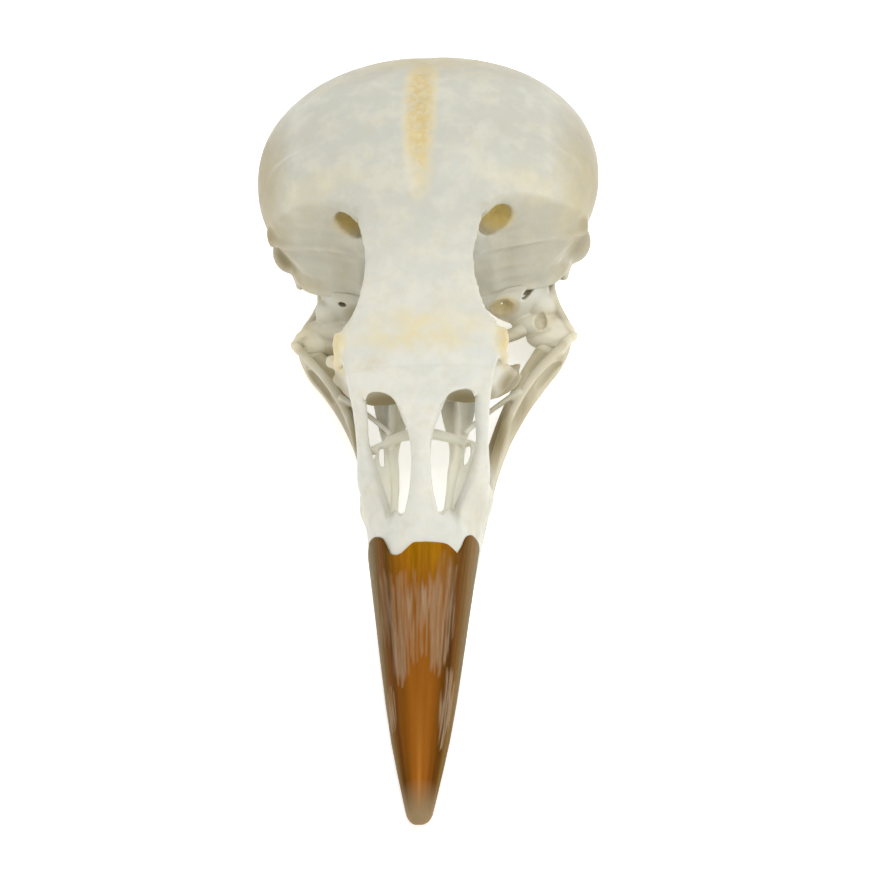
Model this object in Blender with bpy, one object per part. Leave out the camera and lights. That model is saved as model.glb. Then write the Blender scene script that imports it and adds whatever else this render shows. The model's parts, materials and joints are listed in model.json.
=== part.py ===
# Starling skull, life size, at rest on its lower jaw.
# Sizes below are in millimetres; spot() turns a place on the skull into metres.
# A place is (x, f, z): x to the bird's left, f forward from the back of the head, z up from the floor.
import math

import bmesh
import bpy
from mathutils import Vector

MM = 0.001

# Driving sizes
SKULL_LENGTH = 55.5
CRANIUM_WIDTH = 22.2
CRANIUM_TOP = 17.5
HINGE_F = 26.2
GAP = 0.3
MIDDLE_F = SKULL_LENGTH / 2

# Braincase: one rounded dome, then what grows from it
DOME_CENTRE = (0.0, 8.8, 10.6)
DOME_SEMIS = (CRANIUM_WIDTH / 2, 8.8, CRANIUM_TOP - 10.6)
DOME_POWER = 2.12

# Orbits: the spaces cut from both sides of the head, seen from above as places of x and f
ROOF_EDGE = ((4.15, 16.2), (3.62, 18.4), (3.46, 19.3), (3.51, 20.1), (3.7, 21.2), (4.08, 22.5), (4.9, 23.6),
             (5.4, 23.95))
OPEN_SIDE = ((6.5, 24.2), (9.0, 24.3), (14.0, 24.3), (14.0, 18.0), (14.0, 12.0))
REAR_RIM = ((11.0, 12.0), (9.65, 13.3), (8.8, 13.8), (7.0, 14.48), (5.2, 15.1), (4.35, 15.75))
ROOF_TOP = ((14.5, 15.95), (16.0, 15.4), (17.5, 14.95), (19.1, 14.45), (21.6, 13.5), (23.4, 12.75),
            (24.6, 12.15))
ORBIT_CEILING = 20.0
ORBIT_FLOOR = 3.2
RIM_THICKNESS = 0.55
VAULT_DEPTH = 1.5
SEPTUM_HALF = 0.35
ORBIT_SLOPE = 0.08

# Nostrils: openings seen from above as places of x and f
NOSTRIL = ((2.6, 28.15), (1.7, 28.7), (1.2, 29.4), (0.78, 30.4), (0.6, 31.9), (0.7, 33.6), (1.03, 35.3),
           (1.2, 35.6), (1.75, 33.9), (2.57, 31.5), (3.1, 29.9), (3.35, 28.9), (3.1, 28.2))
NOSTRIL_TOP = 13.0
NOSTRIL_FLOOR = 5.2

# Bill: height of its ridge, of its lower edge and its half width along f
RIDGE = ((24.0, 12.2), (HINGE_F, 11.56), (28.0, 11.0), (33.0, 9.2), (37.2, 7.7), (45.0, 5.0),
         (50.0, 3.5), (SKULL_LENGTH, 1.8))
TOMIUM = ((28.0, 3.2), (34.0, 3.1), (37.2, 2.9), (45.0, 2.2), (50.0, 1.75), (SKULL_LENGTH, 1.2))
BILL_HALF = ((28.0, 4.45), (30.5, 4.15), (34.0, 3.6), (37.1, 3.25), (40.2, 2.9), (43.3, 2.55), (46.3, 2.2),
             (49.3, 1.79), (51.5, 1.4), (53.7, 0.98), (54.7, 0.78), (SKULL_LENGTH, 0.66))
BILL_SQUARENESS = 2.3
# Rear edge of the horn seen along the bill: from -1 at one lower edge over the ridge to 1 at the other
HORN_EDGE = ((-1.0, 35.1), (-0.95, 35.25), (-0.88, 35.67), (-0.72, 36.64), (-0.58, 38.07),
             (-0.4, 38.35), (-0.15, 37.84), (0.3, 37.78), (0.7, 37.83), (0.76, 37.15), (0.88, 35.7),
             (0.95, 35.2), (1.0, 34.6))
# The bill leans: shift to the bird's left for each mm above a level, and for each mm towards the tip
BILL_LEAN = 0.05
BILL_LEAN_LEVEL = 4.5
BILL_SWING = 0.0125
BILL_SWING_F = 43.5
LEAN_START_F = 30.0
LEAN_FULL_F = 35.0
LOWER_SHEATH_F = 38.6
LOWER_TIP_F = 54.0
LOWER_INSET = 0.45
LOWER_TOP_GAP = 0.35
LOWER_UNDERSIDE = -0.25
LOWER_WIDEST_SHARE = 0.55
TIP_ROUND = 1.0
JAW_SHIFT = 0.15
PALATE_SHIFT = 0.3
# The quadrates' distance from the middle: the bird's right one stands a little nearer
QUADRATE_LEFT = 7.1
QUADRATE_RIGHT = 6.6

# Surface of each kind of bone: size of its grain, rounds of smoothing, most triangles
SURFACE = {
    "braincase": (0.30, 3, 4200),
    "upper_beak": (0.22, 2, 2000),
    "upper_horn_sheath": (0.25, 1, 700),
    "lower_horn_sheath": (0.22, 1, 400),
    "mandible": (0.25, 2, 850),
    "quadrate": (0.22, 2, 600),
    "pterygoid": (0.20, 1, 170),
    "palatine": (0.20, 1, 300),
    "vomer": (0.20, 1, 300),
    "jugal": (0.20, 1, 200),
    "ectethmoid": (0.22, 2, 300),
}
GROWN_GRAIN = 0.30
GROWN_SHARE = 0.35
SHARP_EDGE = 40


def spot(x, f, z):
    """A place on the skull as a vector in metres."""
    return Vector((x * MM, (MIDDLE_F - f) * MM, z * MM))


def along(table, f):
    """A value read between the places of a short table, in straight lines."""
    if f <= table[0][0]:
        return table[0][1]
    for (f0, v0), (f1, v1) in zip(table, table[1:]):
        if f <= f1:
            return v0 + (v1 - v0) * (f - f0) / (f1 - f0)
    return table[-1][1]


def between(stations, steps):
    """Catmull-Rom stations: more stations along the same smooth route."""
    ends = [stations[0]] + list(stations) + [stations[-1]]
    route = []
    for i in range(1, len(ends) - 2):
        before, start, end, after = ends[i - 1], ends[i], ends[i + 1], ends[i + 2]
        for step in range(steps):
            t = step / steps
            route.append(tuple(
                0.5 * (2 * b + (c - a) * t + (2 * a - 5 * b + 4 * c - d) * t * t
                       + (3 * b - a - 3 * c + d) * t * t * t)
                for a, b, c, d in zip(before, start, end, after)))
    route.append(tuple(stations[-1]))
    return route


def new_object(name, mesh_maker):
    """An object whose mesh is filled by mesh_maker, with faces pointing out."""
    mesh = bpy.data.meshes.new(name)
    bm = bmesh.new()
    mesh_maker(bm)
    bmesh.ops.recalc_face_normals(bm, faces=bm.faces)
    bm.to_mesh(mesh)
    bm.free()
    piece = bpy.data.objects.new(name, mesh)
    bpy.context.scene.collection.objects.link(piece)
    return piece


def rings(name, ring_list):
    """A closed solid skinned over rings of equal count, with a point in the middle of each end."""
    def make(bm):
        rows = [[bm.verts.new(point) for point in ring] for ring in ring_list]
        count = len(rows[0])
        for row, following in zip(rows, rows[1:]):
            for i in range(count):
                bm.faces.new((row[i], row[(i + 1) % count], following[(i + 1) % count], following[i]))
        for row in (rows[0], rows[-1]):
            middle = sum((vert.co for vert in row), Vector()) / count
            centre = bm.verts.new(middle)
            for i in range(count):
                bm.faces.new((centre, row[i], row[(i + 1) % count]))
    return new_object(name, make)


def power_curve(angle, power):
    """A point of a superellipse of half axes 1: power 2 is a circle, more is squarer."""
    c, s = math.cos(angle), math.sin(angle)
    reach = (abs(c) ** power + abs(s) ** power) ** (-1 / power)
    return c * reach, s * reach


def lump(name, centre, semis, power=2.0, rows=20, count=32):
    """A closed ellipsoid, or a squarer one, of given half axes in x, f and z."""
    middle = spot(*centre)

    def place(x, y, z):
        return middle + Vector((x * semis[0], y * semis[1], z * semis[2])) * MM

    def make(bm):
        top = bm.verts.new(place(0, 0, 1))
        bottom = bm.verts.new(place(0, 0, -1))
        bands = []
        for row in range(1, rows):
            flat, high = power_curve(math.pi / 2 - math.pi * row / rows, power)
            band = []
            for i in range(count):
                x, y = power_curve(2 * math.pi * i / count, power)
                band.append(bm.verts.new(place(x * flat, y * flat, high)))
            bands.append(band)
        for i in range(count):
            j = (i + 1) % count
            bm.faces.new((top, bands[0][i], bands[0][j]))
            bm.faces.new((bottom, bands[-1][j], bands[-1][i]))
            for upper, lower in zip(bands, bands[1:]):
                bm.faces.new((upper[i], lower[i], lower[j], upper[j]))
    return new_object(name, make)


def upright(name, stations, power=2.0, sides=32, steps=3):
    """A closed solid along the middle, from upright sections of (f, half width, lowest z, highest z)."""
    rows = []
    for f, half, low, high in between(stations, steps):
        curve = [power_curve(2 * math.pi * k / sides, power) for k in range(sides)]
        rows.append([spot(c * half, f, (low + high) / 2 + s * (high - low) / 2) for c, s in curve])
    return rings(name, rows)


def bar(name, stations, side=1, power=2.0, sides=14, steps=4, up=(0, 0, 1), shift=0.0):
    """A closed bar along stations of (x, f, z, half width, half height), shifted to the bird's right."""
    route = between(stations, steps)
    places = [spot(side * x - shift, f, z) for x, f, z, width, height in route]
    rows = []
    for i, (x, f, z, width, height) in enumerate(route):
        ahead = places[min(i + 1, len(places) - 1)]
        behind = places[max(i - 1, 0)]
        run = (ahead - behind).normalized()
        across = run.cross(Vector(up)).normalized()
        rise = across.cross(run).normalized()
        ring = []
        for k in range(sides):
            c, s = power_curve(2 * math.pi * k / sides, power)
            ring.append(places[i] + across * c * width * MM + rise * s * height * MM)
        rows.append(ring)
    return rings(name, rows)


def box(name, low, high):
    """A closed box between two corners given as (x, f, z)."""
    a, b = spot(*low), spot(*high)
    middle, size = (a + b) / 2, b - a

    def make(bm):
        bmesh.ops.create_cube(bm, size=1)
        for vert in bm.verts:
            vert.co = middle + Vector([vert.co[i] * abs(size[i]) for i in range(3)])
    return new_object(name, make)


def apply_modifiers(piece):
    """The piece keeps the shape that its modifiers give."""
    shaped = bpy.data.meshes.new_from_object(piece.evaluated_get(bpy.context.evaluated_depsgraph_get()))
    piece.modifiers.clear()
    old = piece.data
    piece.data = shaped
    bpy.data.meshes.remove(old)


def remove(pieces):
    """The pieces and their meshes go."""
    for piece in pieces:
        mesh = piece.data
        bpy.data.objects.remove(piece)
        bpy.data.meshes.remove(mesh)


def boolean(piece, others, operation):
    """One Boolean of the piece with a collection of closed solids, which then go."""
    group = bpy.data.collections.new("operands")
    bpy.context.scene.collection.children.link(group)
    for other in others:
        bpy.context.scene.collection.objects.unlink(other)
        group.objects.link(other)
    modifier = piece.modifiers.new(operation, "BOOLEAN")
    modifier.operation = operation
    modifier.operand_type = "COLLECTION"
    modifier.collection = group
    modifier.solver = "MANIFOLD"
    apply_modifiers(piece)
    remove(list(group.objects))
    bpy.data.collections.remove(group)


def keep_largest(piece):
    """Only the largest closed surface of the piece stays."""
    bm = bmesh.new()
    bm.from_mesh(piece.data)
    bmesh.ops.triangulate(bm, faces=bm.faces)
    seen, islands = set(), []
    for start in bm.verts:
        if start in seen:
            continue
        seen.add(start)
        island, queue = [], [start]
        while queue:
            vert = queue.pop()
            island.append(vert)
            for edge in vert.link_edges:
                other = edge.other_vert(vert)
                if other not in seen:
                    seen.add(other)
                    queue.append(other)
        islands.append(island)

    def spread(island):
        return sum(face.calc_area() for vert in island for face in vert.link_faces)
    islands.sort(key=spread, reverse=True)
    loose = [vert for island in islands[1:] for vert in island]
    bmesh.ops.delete(bm, geom=loose, context="VERTS")
    bm.to_mesh(piece.data)
    bm.free()


def surface(piece):
    """Grain, rounds of smoothing and most triangles for a bone's kind."""
    return SURFACE[piece.name.removesuffix("_left").removesuffix("_right")]


def melt(piece):
    """The fused pieces flow into one even, smooth surface."""
    grain, rounds, _ = surface(piece)
    remesh = piece.modifiers.new("even", "REMESH")
    remesh.mode = "VOXEL"
    remesh.voxel_size = grain * MM
    smooth = piece.modifiers.new("smooth", "SMOOTH")
    smooth.factor = 0.5
    smooth.iterations = rounds
    apply_modifiers(piece)
    keep_largest(piece)


def thin_out(piece, share):
    """This share of the triangles stays, with the shape kept."""
    decimate = piece.modifiers.new("fewer", "DECIMATE")
    decimate.ratio = share
    apply_modifiers(piece)


def thin_to_limit(piece):
    """No more triangles than the bone's kind may have."""
    most = surface(piece)[2]
    thin_out(piece, most / max(len(piece.data.polygons), most))


def grown(piece, gap):
    """A copy of a finished piece, larger all round by the gap."""
    copy = bpy.data.objects.new("grown", piece.data.copy())
    bpy.context.scene.collection.objects.link(copy)
    swell = copy.modifiers.new("swell", "DISPLACE")
    swell.mid_level = 0
    swell.strength = gap * MM
    even = copy.modifiers.new("even", "REMESH")
    even.mode = "VOXEL"
    even.voxel_size = GROWN_GRAIN * MM
    apply_modifiers(copy)
    thin_out(copy, GROWN_SHARE)
    return copy


def fuse(name, pieces, look, cutters=()):
    """One bone from overlapping solids: joined, cut, smoothed and thinned."""
    bone = pieces[0]
    bone.name = name
    bone.data.name = name
    if len(pieces) > 1:
        boolean(bone, pieces[1:], "UNION")
    if cutters:
        boolean(bone, cutters, "DIFFERENCE")
    melt(bone)
    thin_to_limit(bone)
    bone.data.materials.clear()
    bone.data.materials.append(look)
    return bone


def keep_clear(bone, neighbours, floor=False):
    """The bone meets its neighbours, and the floor, face to face."""
    cutters = [grown(other, GAP) for other in neighbours]
    if floor:
        cutters.append(box("below", (-20, -5, -5), (20, 60, 0)))
    boolean(bone, cutters, "DIFFERENCE")
    keep_largest(bone)
    thin_to_limit(bone)


def finish(bone):
    """Round faces shade smooth and real edges stay sharp."""
    bone.data.shade_smooth()
    bone.data.set_sharp_from_angle(angle=math.radians(SHARP_EDGE))


def plain_look(name, colour, roughness):
    """A plain material of the bone or horn."""
    look = bpy.data.materials.new(name)
    look.use_nodes = True
    shader = look.node_tree.nodes["Principled BSDF"]
    shader.inputs["Base Color"].default_value = (*colour, 1)
    shader.inputs["Roughness"].default_value = roughness
    shader.inputs["Metallic"].default_value = 0
    return look


def pair(maker, name, *args):
    """The left and the right piece of one kind, made alike."""
    return [maker(f"{name}_{word}", side, *args) for word, side in (("left", 1), ("right", -1))]


def make_braincase(bone):
    """Dome, roof between the orbits, septum, rostrum, processes and base, with what is cut from them."""
    pieces = [lump("dome", DOME_CENTRE, DOME_SEMIS, power=DOME_POWER, rows=32, count=56)]
    pieces.append(upright("frontal", (
        (11.0, 10.5, 4.1, 17.1), (13.0, 9.6, 4.6, 16.6), (14.5, 8.4, 5.6, 15.95), (16.0, 7.0, 7.8, 15.4),
        (17.5, 5.9, 9.9, 14.95), (19.1, 5.2, 11.3, 14.45), (21.6, 5.3, 11.2, 13.5), (23.4, 5.5, 10.8, 12.75),
        (24.6, 5.4, 10.5, 12.17), (25.4, 5.1, 10.5, 11.87), (HINGE_F, 4.85, 10.4, 11.56),
        (27.0, 4.62, 10.2, 11.25)), power=2.7, sides=40))
    pieces.append(bar("septum", (
        (0, 12.0, 8.9, 0.6, 4.3), (0, 15.0, 8.9, 0.5, 4.3), (0, 19.0, 9.1, 0.42, 4.0),
        (0, 22.5, 9.0, 0.42, 3.4), (0, 25.2, 8.8, 0.5, 2.7)), power=4))
    pieces.append(bar("rostrum", (
        (0, 10.0, 4.9, 1.6, 1.2), (0, 14.5, 4.9, 1.1, 0.9), (0, 19.0, 5.1, 0.75, 0.7),
        (0, 24.2, 5.6, 0.5, 0.55))))
    pieces.append(lump("base", (0, 9.2, 5.4), (6.4, 6.0, 2.2)))
    pieces.append(lump("condyle", (0, 2.9, 4.3), (0.9, 0.9, 0.8)))
    cutters = []
    for side in (1, -1):
        pieces.append(bar("postorbital", (
            (9.2, 11.4, 10.4, 0.9, 0.9), (9.8, 12.3, 10.1, 0.6, 0.65), (10.15, 13.0, 9.7, 0.3, 0.3)), side))
        pieces.append(lump("temporal", (side * 9.05, 11.2, 6.9), (1.35, 1.6, 1.3)))
        pieces.append(bar("zygomatic", (
            (8.4, 11.2, 7.2, 1.0, 1.2), (8.6, 12.4, 6.4, 0.6, 0.7), (8.6, 13.2, 5.7, 0.35, 0.35)), side))
        pieces.append(lump("ear_wing", (side * 7.4, 7.0, 5.9), (2.4, 3.0, 2.6)))
        pieces.append(lump("wall_foot", (side * 4.6, 12.4, 6.0), (4.2, 1.7, 2.3)))
        pieces.append(lump("corner_knob", (side * 5.1, 24.4, 11.2), (0.5, 1.1, 0.75), rows=12, count=20))
        cutters.append(orbit_space(side))
        cutters.append(lump("fonticulus", (side * 4.6, 15.3, 13.15), (1.2, 1.1, 0.9)))
        cutters.append(lump("ear_hollow", (side * 9.6, 10.2, 5.6), (1.7, 1.5, 1.5)))
        cutters.append(lump("temple_notch", (side * 11.6, 12.6, 9.3), (1.4, 1.0, 0.9)))
    cutters.append(lump("septum_window", (0, 18.6, 9.3), (3, 2.5, 1.7)))
    cutters.append(lump("great_hole", (0, 2.2, 6.2), (2.1, 3.6, 1.75)))
    cutters.append(box("hinge_cut", (-9, HINGE_F, 0), (9, 40, 20)))
    return fuse("braincase", pieces, bone, cutters)


def orbit_space(side):
    """The space of an orbit: open above and beside the roof, and reaching under it to the septum."""
    edge = [(*place, True) for place in between(ROOF_EDGE, 2)]
    rest = [(*place, False) for place in between(OPEN_SIDE, 1) + between(REAR_RIM, 2)]
    rows = []
    for level in range(4):
        row = []
        for x, f, roofed in edge + rest:
            roof = along(ROOF_TOP, f)
            height = (ORBIT_CEILING, roof - RIM_THICKNESS, roof - VAULT_DEPTH, ORBIT_FLOOR)[level]
            if roofed and level > 1:
                x, f = SEPTUM_HALF, f + 0.5
            elif not roofed and level > 1 and f < 17:
                f += ORBIT_SLOPE * (12.5 - min(height, 12.5))
            row.append(spot(side * x, f, height))
        rows.append(row)
    return rings("orbit", rows)


def bill_section(f, inset=0.0, count=24):
    """One arched section of the upper bill: a round top over a flat, slightly hollow floor."""
    half = along(BILL_HALF, f) - inset
    floor = along(TOMIUM, f) + inset
    height = along(RIDGE, f) - inset - floor
    points = []
    for i in range(count):
        angle = 2 * math.pi * i / count
        c, s = power_curve(angle, BILL_SQUARENESS)
        points.append((c * half, floor + (s * height if s > 0 else 0.12 * height * (1 + s))))
    return points


def lean_bill(piece):
    """The bill leans and swings a little, as the real one does."""
    for vert in piece.data.vertices:
        f = MIDDLE_F - vert.co.y / MM
        t = min(1.0, max(0.0, (f - LEAN_START_F) / (LEAN_FULL_F - LEAN_START_F)))
        away = BILL_LEAN * (vert.co.z / MM - BILL_LEAN_LEVEL) + BILL_SWING * (f - BILL_SWING_F)
        vert.co.x += t * t * (3 - 2 * t) * away * MM


def make_upper_sheath(horn):
    """The amber horn over the front of the upper bill."""
    count = 32
    steps = 22
    rows = []
    for step in range(steps + 1):
        t = step / steps
        ring = []
        for i in range(count):
            angle = 2 * math.pi * i / count
            turned = math.cos(angle) if math.sin(angle) >= 0 else math.copysign(1.0, math.cos(angle))
            start = along(HORN_EDGE, turned)
            f = start + (SKULL_LENGTH - start) * (1 - (1 - t) ** 1.25)
            blunt = max(0.001, 1 - max(0.0, (f - (SKULL_LENGTH - TIP_ROUND)) / TIP_ROUND) ** 2) ** 0.5
            half = along(BILL_HALF, f) * blunt
            floor = along(TOMIUM, f)
            height = along(RIDGE, f) - floor
            middle = floor + height / 2
            c, s = power_curve(angle, BILL_SQUARENESS)
            z = floor + (s * height if s > 0 else 0.0)
            ring.append(spot(c * half, f, middle + (z - middle) * blunt))
        rows.append(ring)
    sheath = fuse("upper_horn_sheath", [rings("upper_horn_sheath", rows)], horn)
    lean_bill(sheath)
    return sheath


def make_upper_beak(bone, neighbours):
    """Nasal plate, ridge bar, side bars and the solid front of the upper bill."""
    pieces = [upright("nasal_plate", (
        (25.4, 4.95, 10.5, 11.82), (HINGE_F, 4.78, 10.4, 11.54), (27.0, 4.58, 10.25, 11.24),
        (27.7, 4.25, 10.1, 10.99), (28.3, 3.6, 10.0, 10.8), (28.9, 2.9, 9.85, 10.6),
        (29.5, 2.1, 9.65, 10.37), (30.3, 0.9, 9.4, 10.08)), power=2.7)]
    pieces.append(upright("ridge_bar", (
        (27.5, 2.4, 9.95, 10.85), (29.0, 1.6, 9.45, 10.55), (30.3, 0.95, 8.9, 10.15), (31.8, 0.72, 8.2, 9.63),
        (33.4, 0.78, 7.4, 9.05), (34.8, 1.0, 6.6, 8.5), (36.0, 1.5, 5.8, 8.05), (37.2, 2.0, 5.2, 7.6),
        (38.6, 2.1, 4.8, 7.0)), power=2.2, sides=20))
    for side in (1, -1):
        pieces.append(bar("side_bar", (
            (4.08, 26.6, 10.75, 0.6, 0.46), (3.95, 27.8, 10.2, 0.52, 0.48), (3.82, 28.6, 9.35, 0.5, 0.52),
            (3.74, 29.8, 7.75, 0.48, 0.55), (3.5, 31.2, 6.5, 0.72, 0.75), (3.15, 33.0, 5.8, 0.95, 1.0),
            (2.7, 35.0, 5.5, 1.0, 1.3), (2.2, 37.4, 5.0, 0.9, 1.35)), side))
        pieces.append(lump("cheek", (side * 3.45, 32.6, 5.0), (0.65, 1.7, 1.1), rows=12, count=20))
        pieces.append(bar("jaw_edge", (
            (3.95, 30.2, 3.75, 0.4, 0.4), (3.7, 31.6, 3.85, 0.5, 0.55), (3.1, 34.4, 4.0, 0.7, 0.8),
            (2.5, 37.0, 4.0, 0.75, 0.8)), side))
        pieces.append(bar("edge_strut", (
            (3.85, 30.9, 4.1, 0.4, 0.5), (3.8, 31.2, 5.0, 0.35, 0.6), (3.7, 31.4, 6.0, 0.4, 0.6)),
            side, up=(0, 1, 0)))
        pieces.append(bar("cheek_web", (
            (2.95, 31.0, 4.85, 0.95, 0.55), (2.9, 33.0, 5.1, 1.0, 0.85), (2.6, 35.0, 4.9, 0.9, 0.95)), side))
    rows = []
    for f, inset in ((34.6, 1.0), (35.4, 0.6), (36.2, 0.3), (37.1, 0.18), (38.4, 0.18)):
        rows.append([spot(x, f, z) for x, z in bill_section(f, inset)])
    pieces.append(rings("bill_front", rows))
    pieces.append(bar("palate", (
        (0, 32.2, 3.7, 2.6, 0.35), (0, 33.8, 3.75, 3.0, 0.4), (0, 37.0, 3.7, 2.7, 0.45)), power=2.6))
    cutters = [box("hinge_cut", (-9, 20, 0), (9, HINGE_F + GAP, 20))]
    for side in (1, -1):
        cutters.append(rings("nostril", [
            [spot(side * x, f, height) for x, f in between(NOSTRIL, 2)]
            for height in (NOSTRIL_TOP, NOSTRIL_FLOOR)]))
    beak = fuse("upper_beak", pieces, bone, cutters)
    lean_bill(beak)
    keep_clear(beak, neighbours)
    return beak


def make_lower_sheath(horn):
    """The horn over the joined front of the lower jaw, with a flat underside."""
    count, steps = 24, 16
    rows = []
    for step in range(steps + 1):
        t = step / steps
        f = LOWER_SHEATH_F + (LOWER_TIP_F - LOWER_SHEATH_F) * t
        blunt = max(0.001, 1 - max(0.0, (f - (LOWER_TIP_F - TIP_ROUND)) / TIP_ROUND) ** 2) ** 0.5
        half = (along(BILL_HALF, f) - LOWER_INSET) * blunt
        top = along(TOMIUM, f) - LOWER_TOP_GAP
        low = LOWER_UNDERSIDE
        middle = LOWER_WIDEST_SHARE * top
        ring = []
        for i in range(count):
            c, s = power_curve(2 * math.pi * i / count, 2.6)
            z = middle + (top - middle) * s * blunt if s > 0 else middle + (middle - low) * s * blunt
            ring.append(spot(c * half, f, z))
        rows.append(ring)
    sheath = fuse("lower_horn_sheath", [rings("lower_horn_sheath", rows)], horn)
    lean_bill(sheath)
    return sheath


def make_mandible(name, side, bone):
    """One side of the lower jaw, from behind the joint to the joined front."""
    pieces = [bar("ramus", (
        (6.7, 9.9, 0.95, 0.7, 1.0), (6.9, 10.7, 1.05, 0.95, 1.15), (7.3, 12.4, 1.15, 1.1, 1.3),
        (7.8, 14.4, 1.35, 1.3, 1.45), (7.6, 16.2, 1.5, 1.0, 1.55),
        (6.9, 17.9, 1.75, 0.7, 1.9), (6.0, 19.8, 1.75, 0.55, 1.95), (4.9, 22.6, 1.6, 0.5, 1.75),
        (3.95, 26.2, 1.45, 0.5, 1.5), (3.35, 30.0, 1.4, 0.5, 1.4), (2.8, 34.0, 1.35, 0.5, 1.35),
        (2.15, 37.6, 1.25, 0.65, 1.25), (1.4, 41.5, 1.1, 0.9, 1.0)),
        side, power=2.4, sides=16, shift=JAW_SHIFT)]
    pieces.append(bar("inner_process", (
        (7.9, 14.8, 1.9, 0.9, 0.8), (6.6, 14.4, 2.1, 0.7, 0.55), (5.7, 14.1, 2.4, 0.35, 0.35)), side))
    pieces.append(bar("joint_lip", (
        (8.7, 15.2, 2.3, 0.4, 0.4), (8.3, 16.6, 2.6, 0.4, 0.4), (7.5, 18.0, 2.9, 0.35, 0.4),
        (6.6, 19.4, 3.1, 0.3, 0.35)), side))
    return fuse(name, pieces, bone)


def make_quadrate(name, side, bone):
    """The bone between the braincase and the jaw joint."""
    out = QUADRATE_LEFT if side > 0 else QUADRATE_RIGHT
    pieces = [lump("body", (side * out, 14.6, 4.6), (1.1, 1.15, 1.3))]
    pieces.append(bar("joint", (
        (6.0, 15.4, 3.6, 0.5, 0.6), (7.4, 15.4, 3.7, 0.75, 0.75), (8.6, 15.8, 3.4, 0.45, 0.5),
        (9.0, 16.1, 3.15, 0.32, 0.36)), side))
    pieces.append(lump("mass", (side * (out - 0.5), 15.7, 3.9), (1.5, 0.9, 0.75), rows=12, count=20))
    pieces.append(lump("heel", (side * (out + 0.3), 16.1, 3.2), (1.35, 0.8, 0.7), rows=12, count=20))
    pieces.append(bar("ear_process", (
        (out + 0.2, 14.3, 4.8, 0.75, 0.8), (out + 0.5, 12.9, 6.0, 0.52, 0.57),
        (out + 0.8, 11.4, 7.0, 0.62, 0.62)), side))
    pieces.append(bar("eye_process", (
        (out + 0.1, 14.7, 5.0, 0.32, 1.6), (6.0, 15.3, 5.4, 0.3, 1.75), (4.9, 15.6, 5.9, 0.3, 1.45),
        (3.2, 16.0, 6.9, 0.28, 0.5)), side, power=2.6))
    return fuse(name, pieces, bone)


def make_pterygoid(name, side, bone):
    """The strut from the quadrate to the palate."""
    pieces = [bar("strut", (
        (6.4, 15.6, 3.9, 0.5, 0.5), (5.3, 16.6, 4.0, 0.5, 0.42), (3.2, 17.8, 4.2, 0.4, 0.4),
        (1.6, 19.4, 4.3, 0.42, 0.42)), side)]
    return fuse(name, pieces, bone)


def make_palatine(name, side, bone):
    """The flat bar of the roof of the mouth, broad behind and narrow in front."""
    pieces = [bar("bar", (
        (1.7, 19.0, 4.2, 0.5, 0.4), (2.1, 21.3, 4.0, 1.3, 0.32), (2.1, 23.6, 3.9, 1.1, 0.32),
        (2.1, 26.4, 3.7, 0.52, 0.34), (2.05, 29.0, 3.6, 0.46, 0.36), (2.0, 32.5, 3.7, 0.5, 0.4)),
        side, power=2.6, shift=PALATE_SHIFT)]
    return fuse(name, pieces, bone)


def make_vomer(bone, neighbours):
    """The small arch that crosses between the bars of the palate."""
    pieces = [bar("arch", (
        (-3.5, 27.0, 4.45, 0.32, 0.32), (-2.5, 26.45, 4.6, 0.36, 0.34), (-1.4, 26.1, 4.75, 0.4, 0.34),
        (-0.4, 26.1, 4.8, 0.42, 0.35), (0.6, 26.1, 4.75, 0.4, 0.34), (1.8, 26.45, 4.6, 0.36, 0.34),
        (3.2, 27.1, 4.5, 0.32, 0.32)))]
    pieces.append(bar("middle", (
        (-0.45, 22.8, 4.3, 0.32, 0.3), (-0.35, 24.6, 4.5, 0.42, 0.34), (-0.4, 26.3, 4.75, 0.4, 0.35))))
    vomer = fuse("vomer", pieces, bone)
    keep_clear(vomer, neighbours)
    return vomer


def make_jugal(name, side, bone):
    """The thin cheek bar from the quadrate to the upper bill."""
    pieces = [bar("rod", (
        (9.05, 16.2, 3.3, 0.33, 0.38), (8.2, 17.8, 3.7, 0.31, 0.35), (6.9, 19.9, 3.95, 0.31, 0.34),
        (5.85, 22.0, 4.0, 0.31, 0.34), (5.0, 24.2, 3.9, 0.31, 0.34), (4.4, 26.6, 3.8, 0.31, 0.34),
        (4.0, 29.0, 3.8, 0.33, 0.36), (3.85, 30.9, 3.75, 0.36, 0.38)), side)]
    return fuse(name, pieces, bone)


def make_ectethmoid(name, side, bone):
    """The plate across the front of the orbit, under the corner of the roof."""
    pieces = [bar("plate", (
        (0.9, 24.9, 9.0, 0.35, 2.4), (2.8, 25.1, 8.9, 0.38, 2.4), (4.1, 25.0, 9.0, 0.42, 2.2),
        (4.7, 24.7, 9.3, 0.36, 1.65)), side, power=2.6)]
    if side > 0:
        wing = ((4.5, 24.7, 7.6, 0.3, 1.7), (4.9, 24.1, 6.9, 0.28, 1.4), (5.4, 23.3, 6.3, 0.28, 1.0),
                (5.7, 22.8, 6.0, 0.26, 0.6))
        brow = ((4.7, 24.7, 9.3, 0.28, 0.28), (5.3, 23.9, 8.3, 0.28, 0.28), (5.9, 22.9, 7.4, 0.26, 0.26))
    else:
        wing = ((4.5, 24.7, 7.6, 0.3, 1.7), (4.9, 24.1, 6.9, 0.28, 1.4))
        brow = ((4.7, 24.5, 9.7, 0.4, 0.5), (5.3, 24.0, 9.3, 0.45, 0.5), (5.9, 23.4, 8.9, 0.4, 0.42))
    pieces.append(bar("wing", wing, side, power=2.6, up=(0, -0.5, 1)))
    pieces.append(bar("brow", brow, side))
    return fuse(name, pieces, bone)


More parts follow.
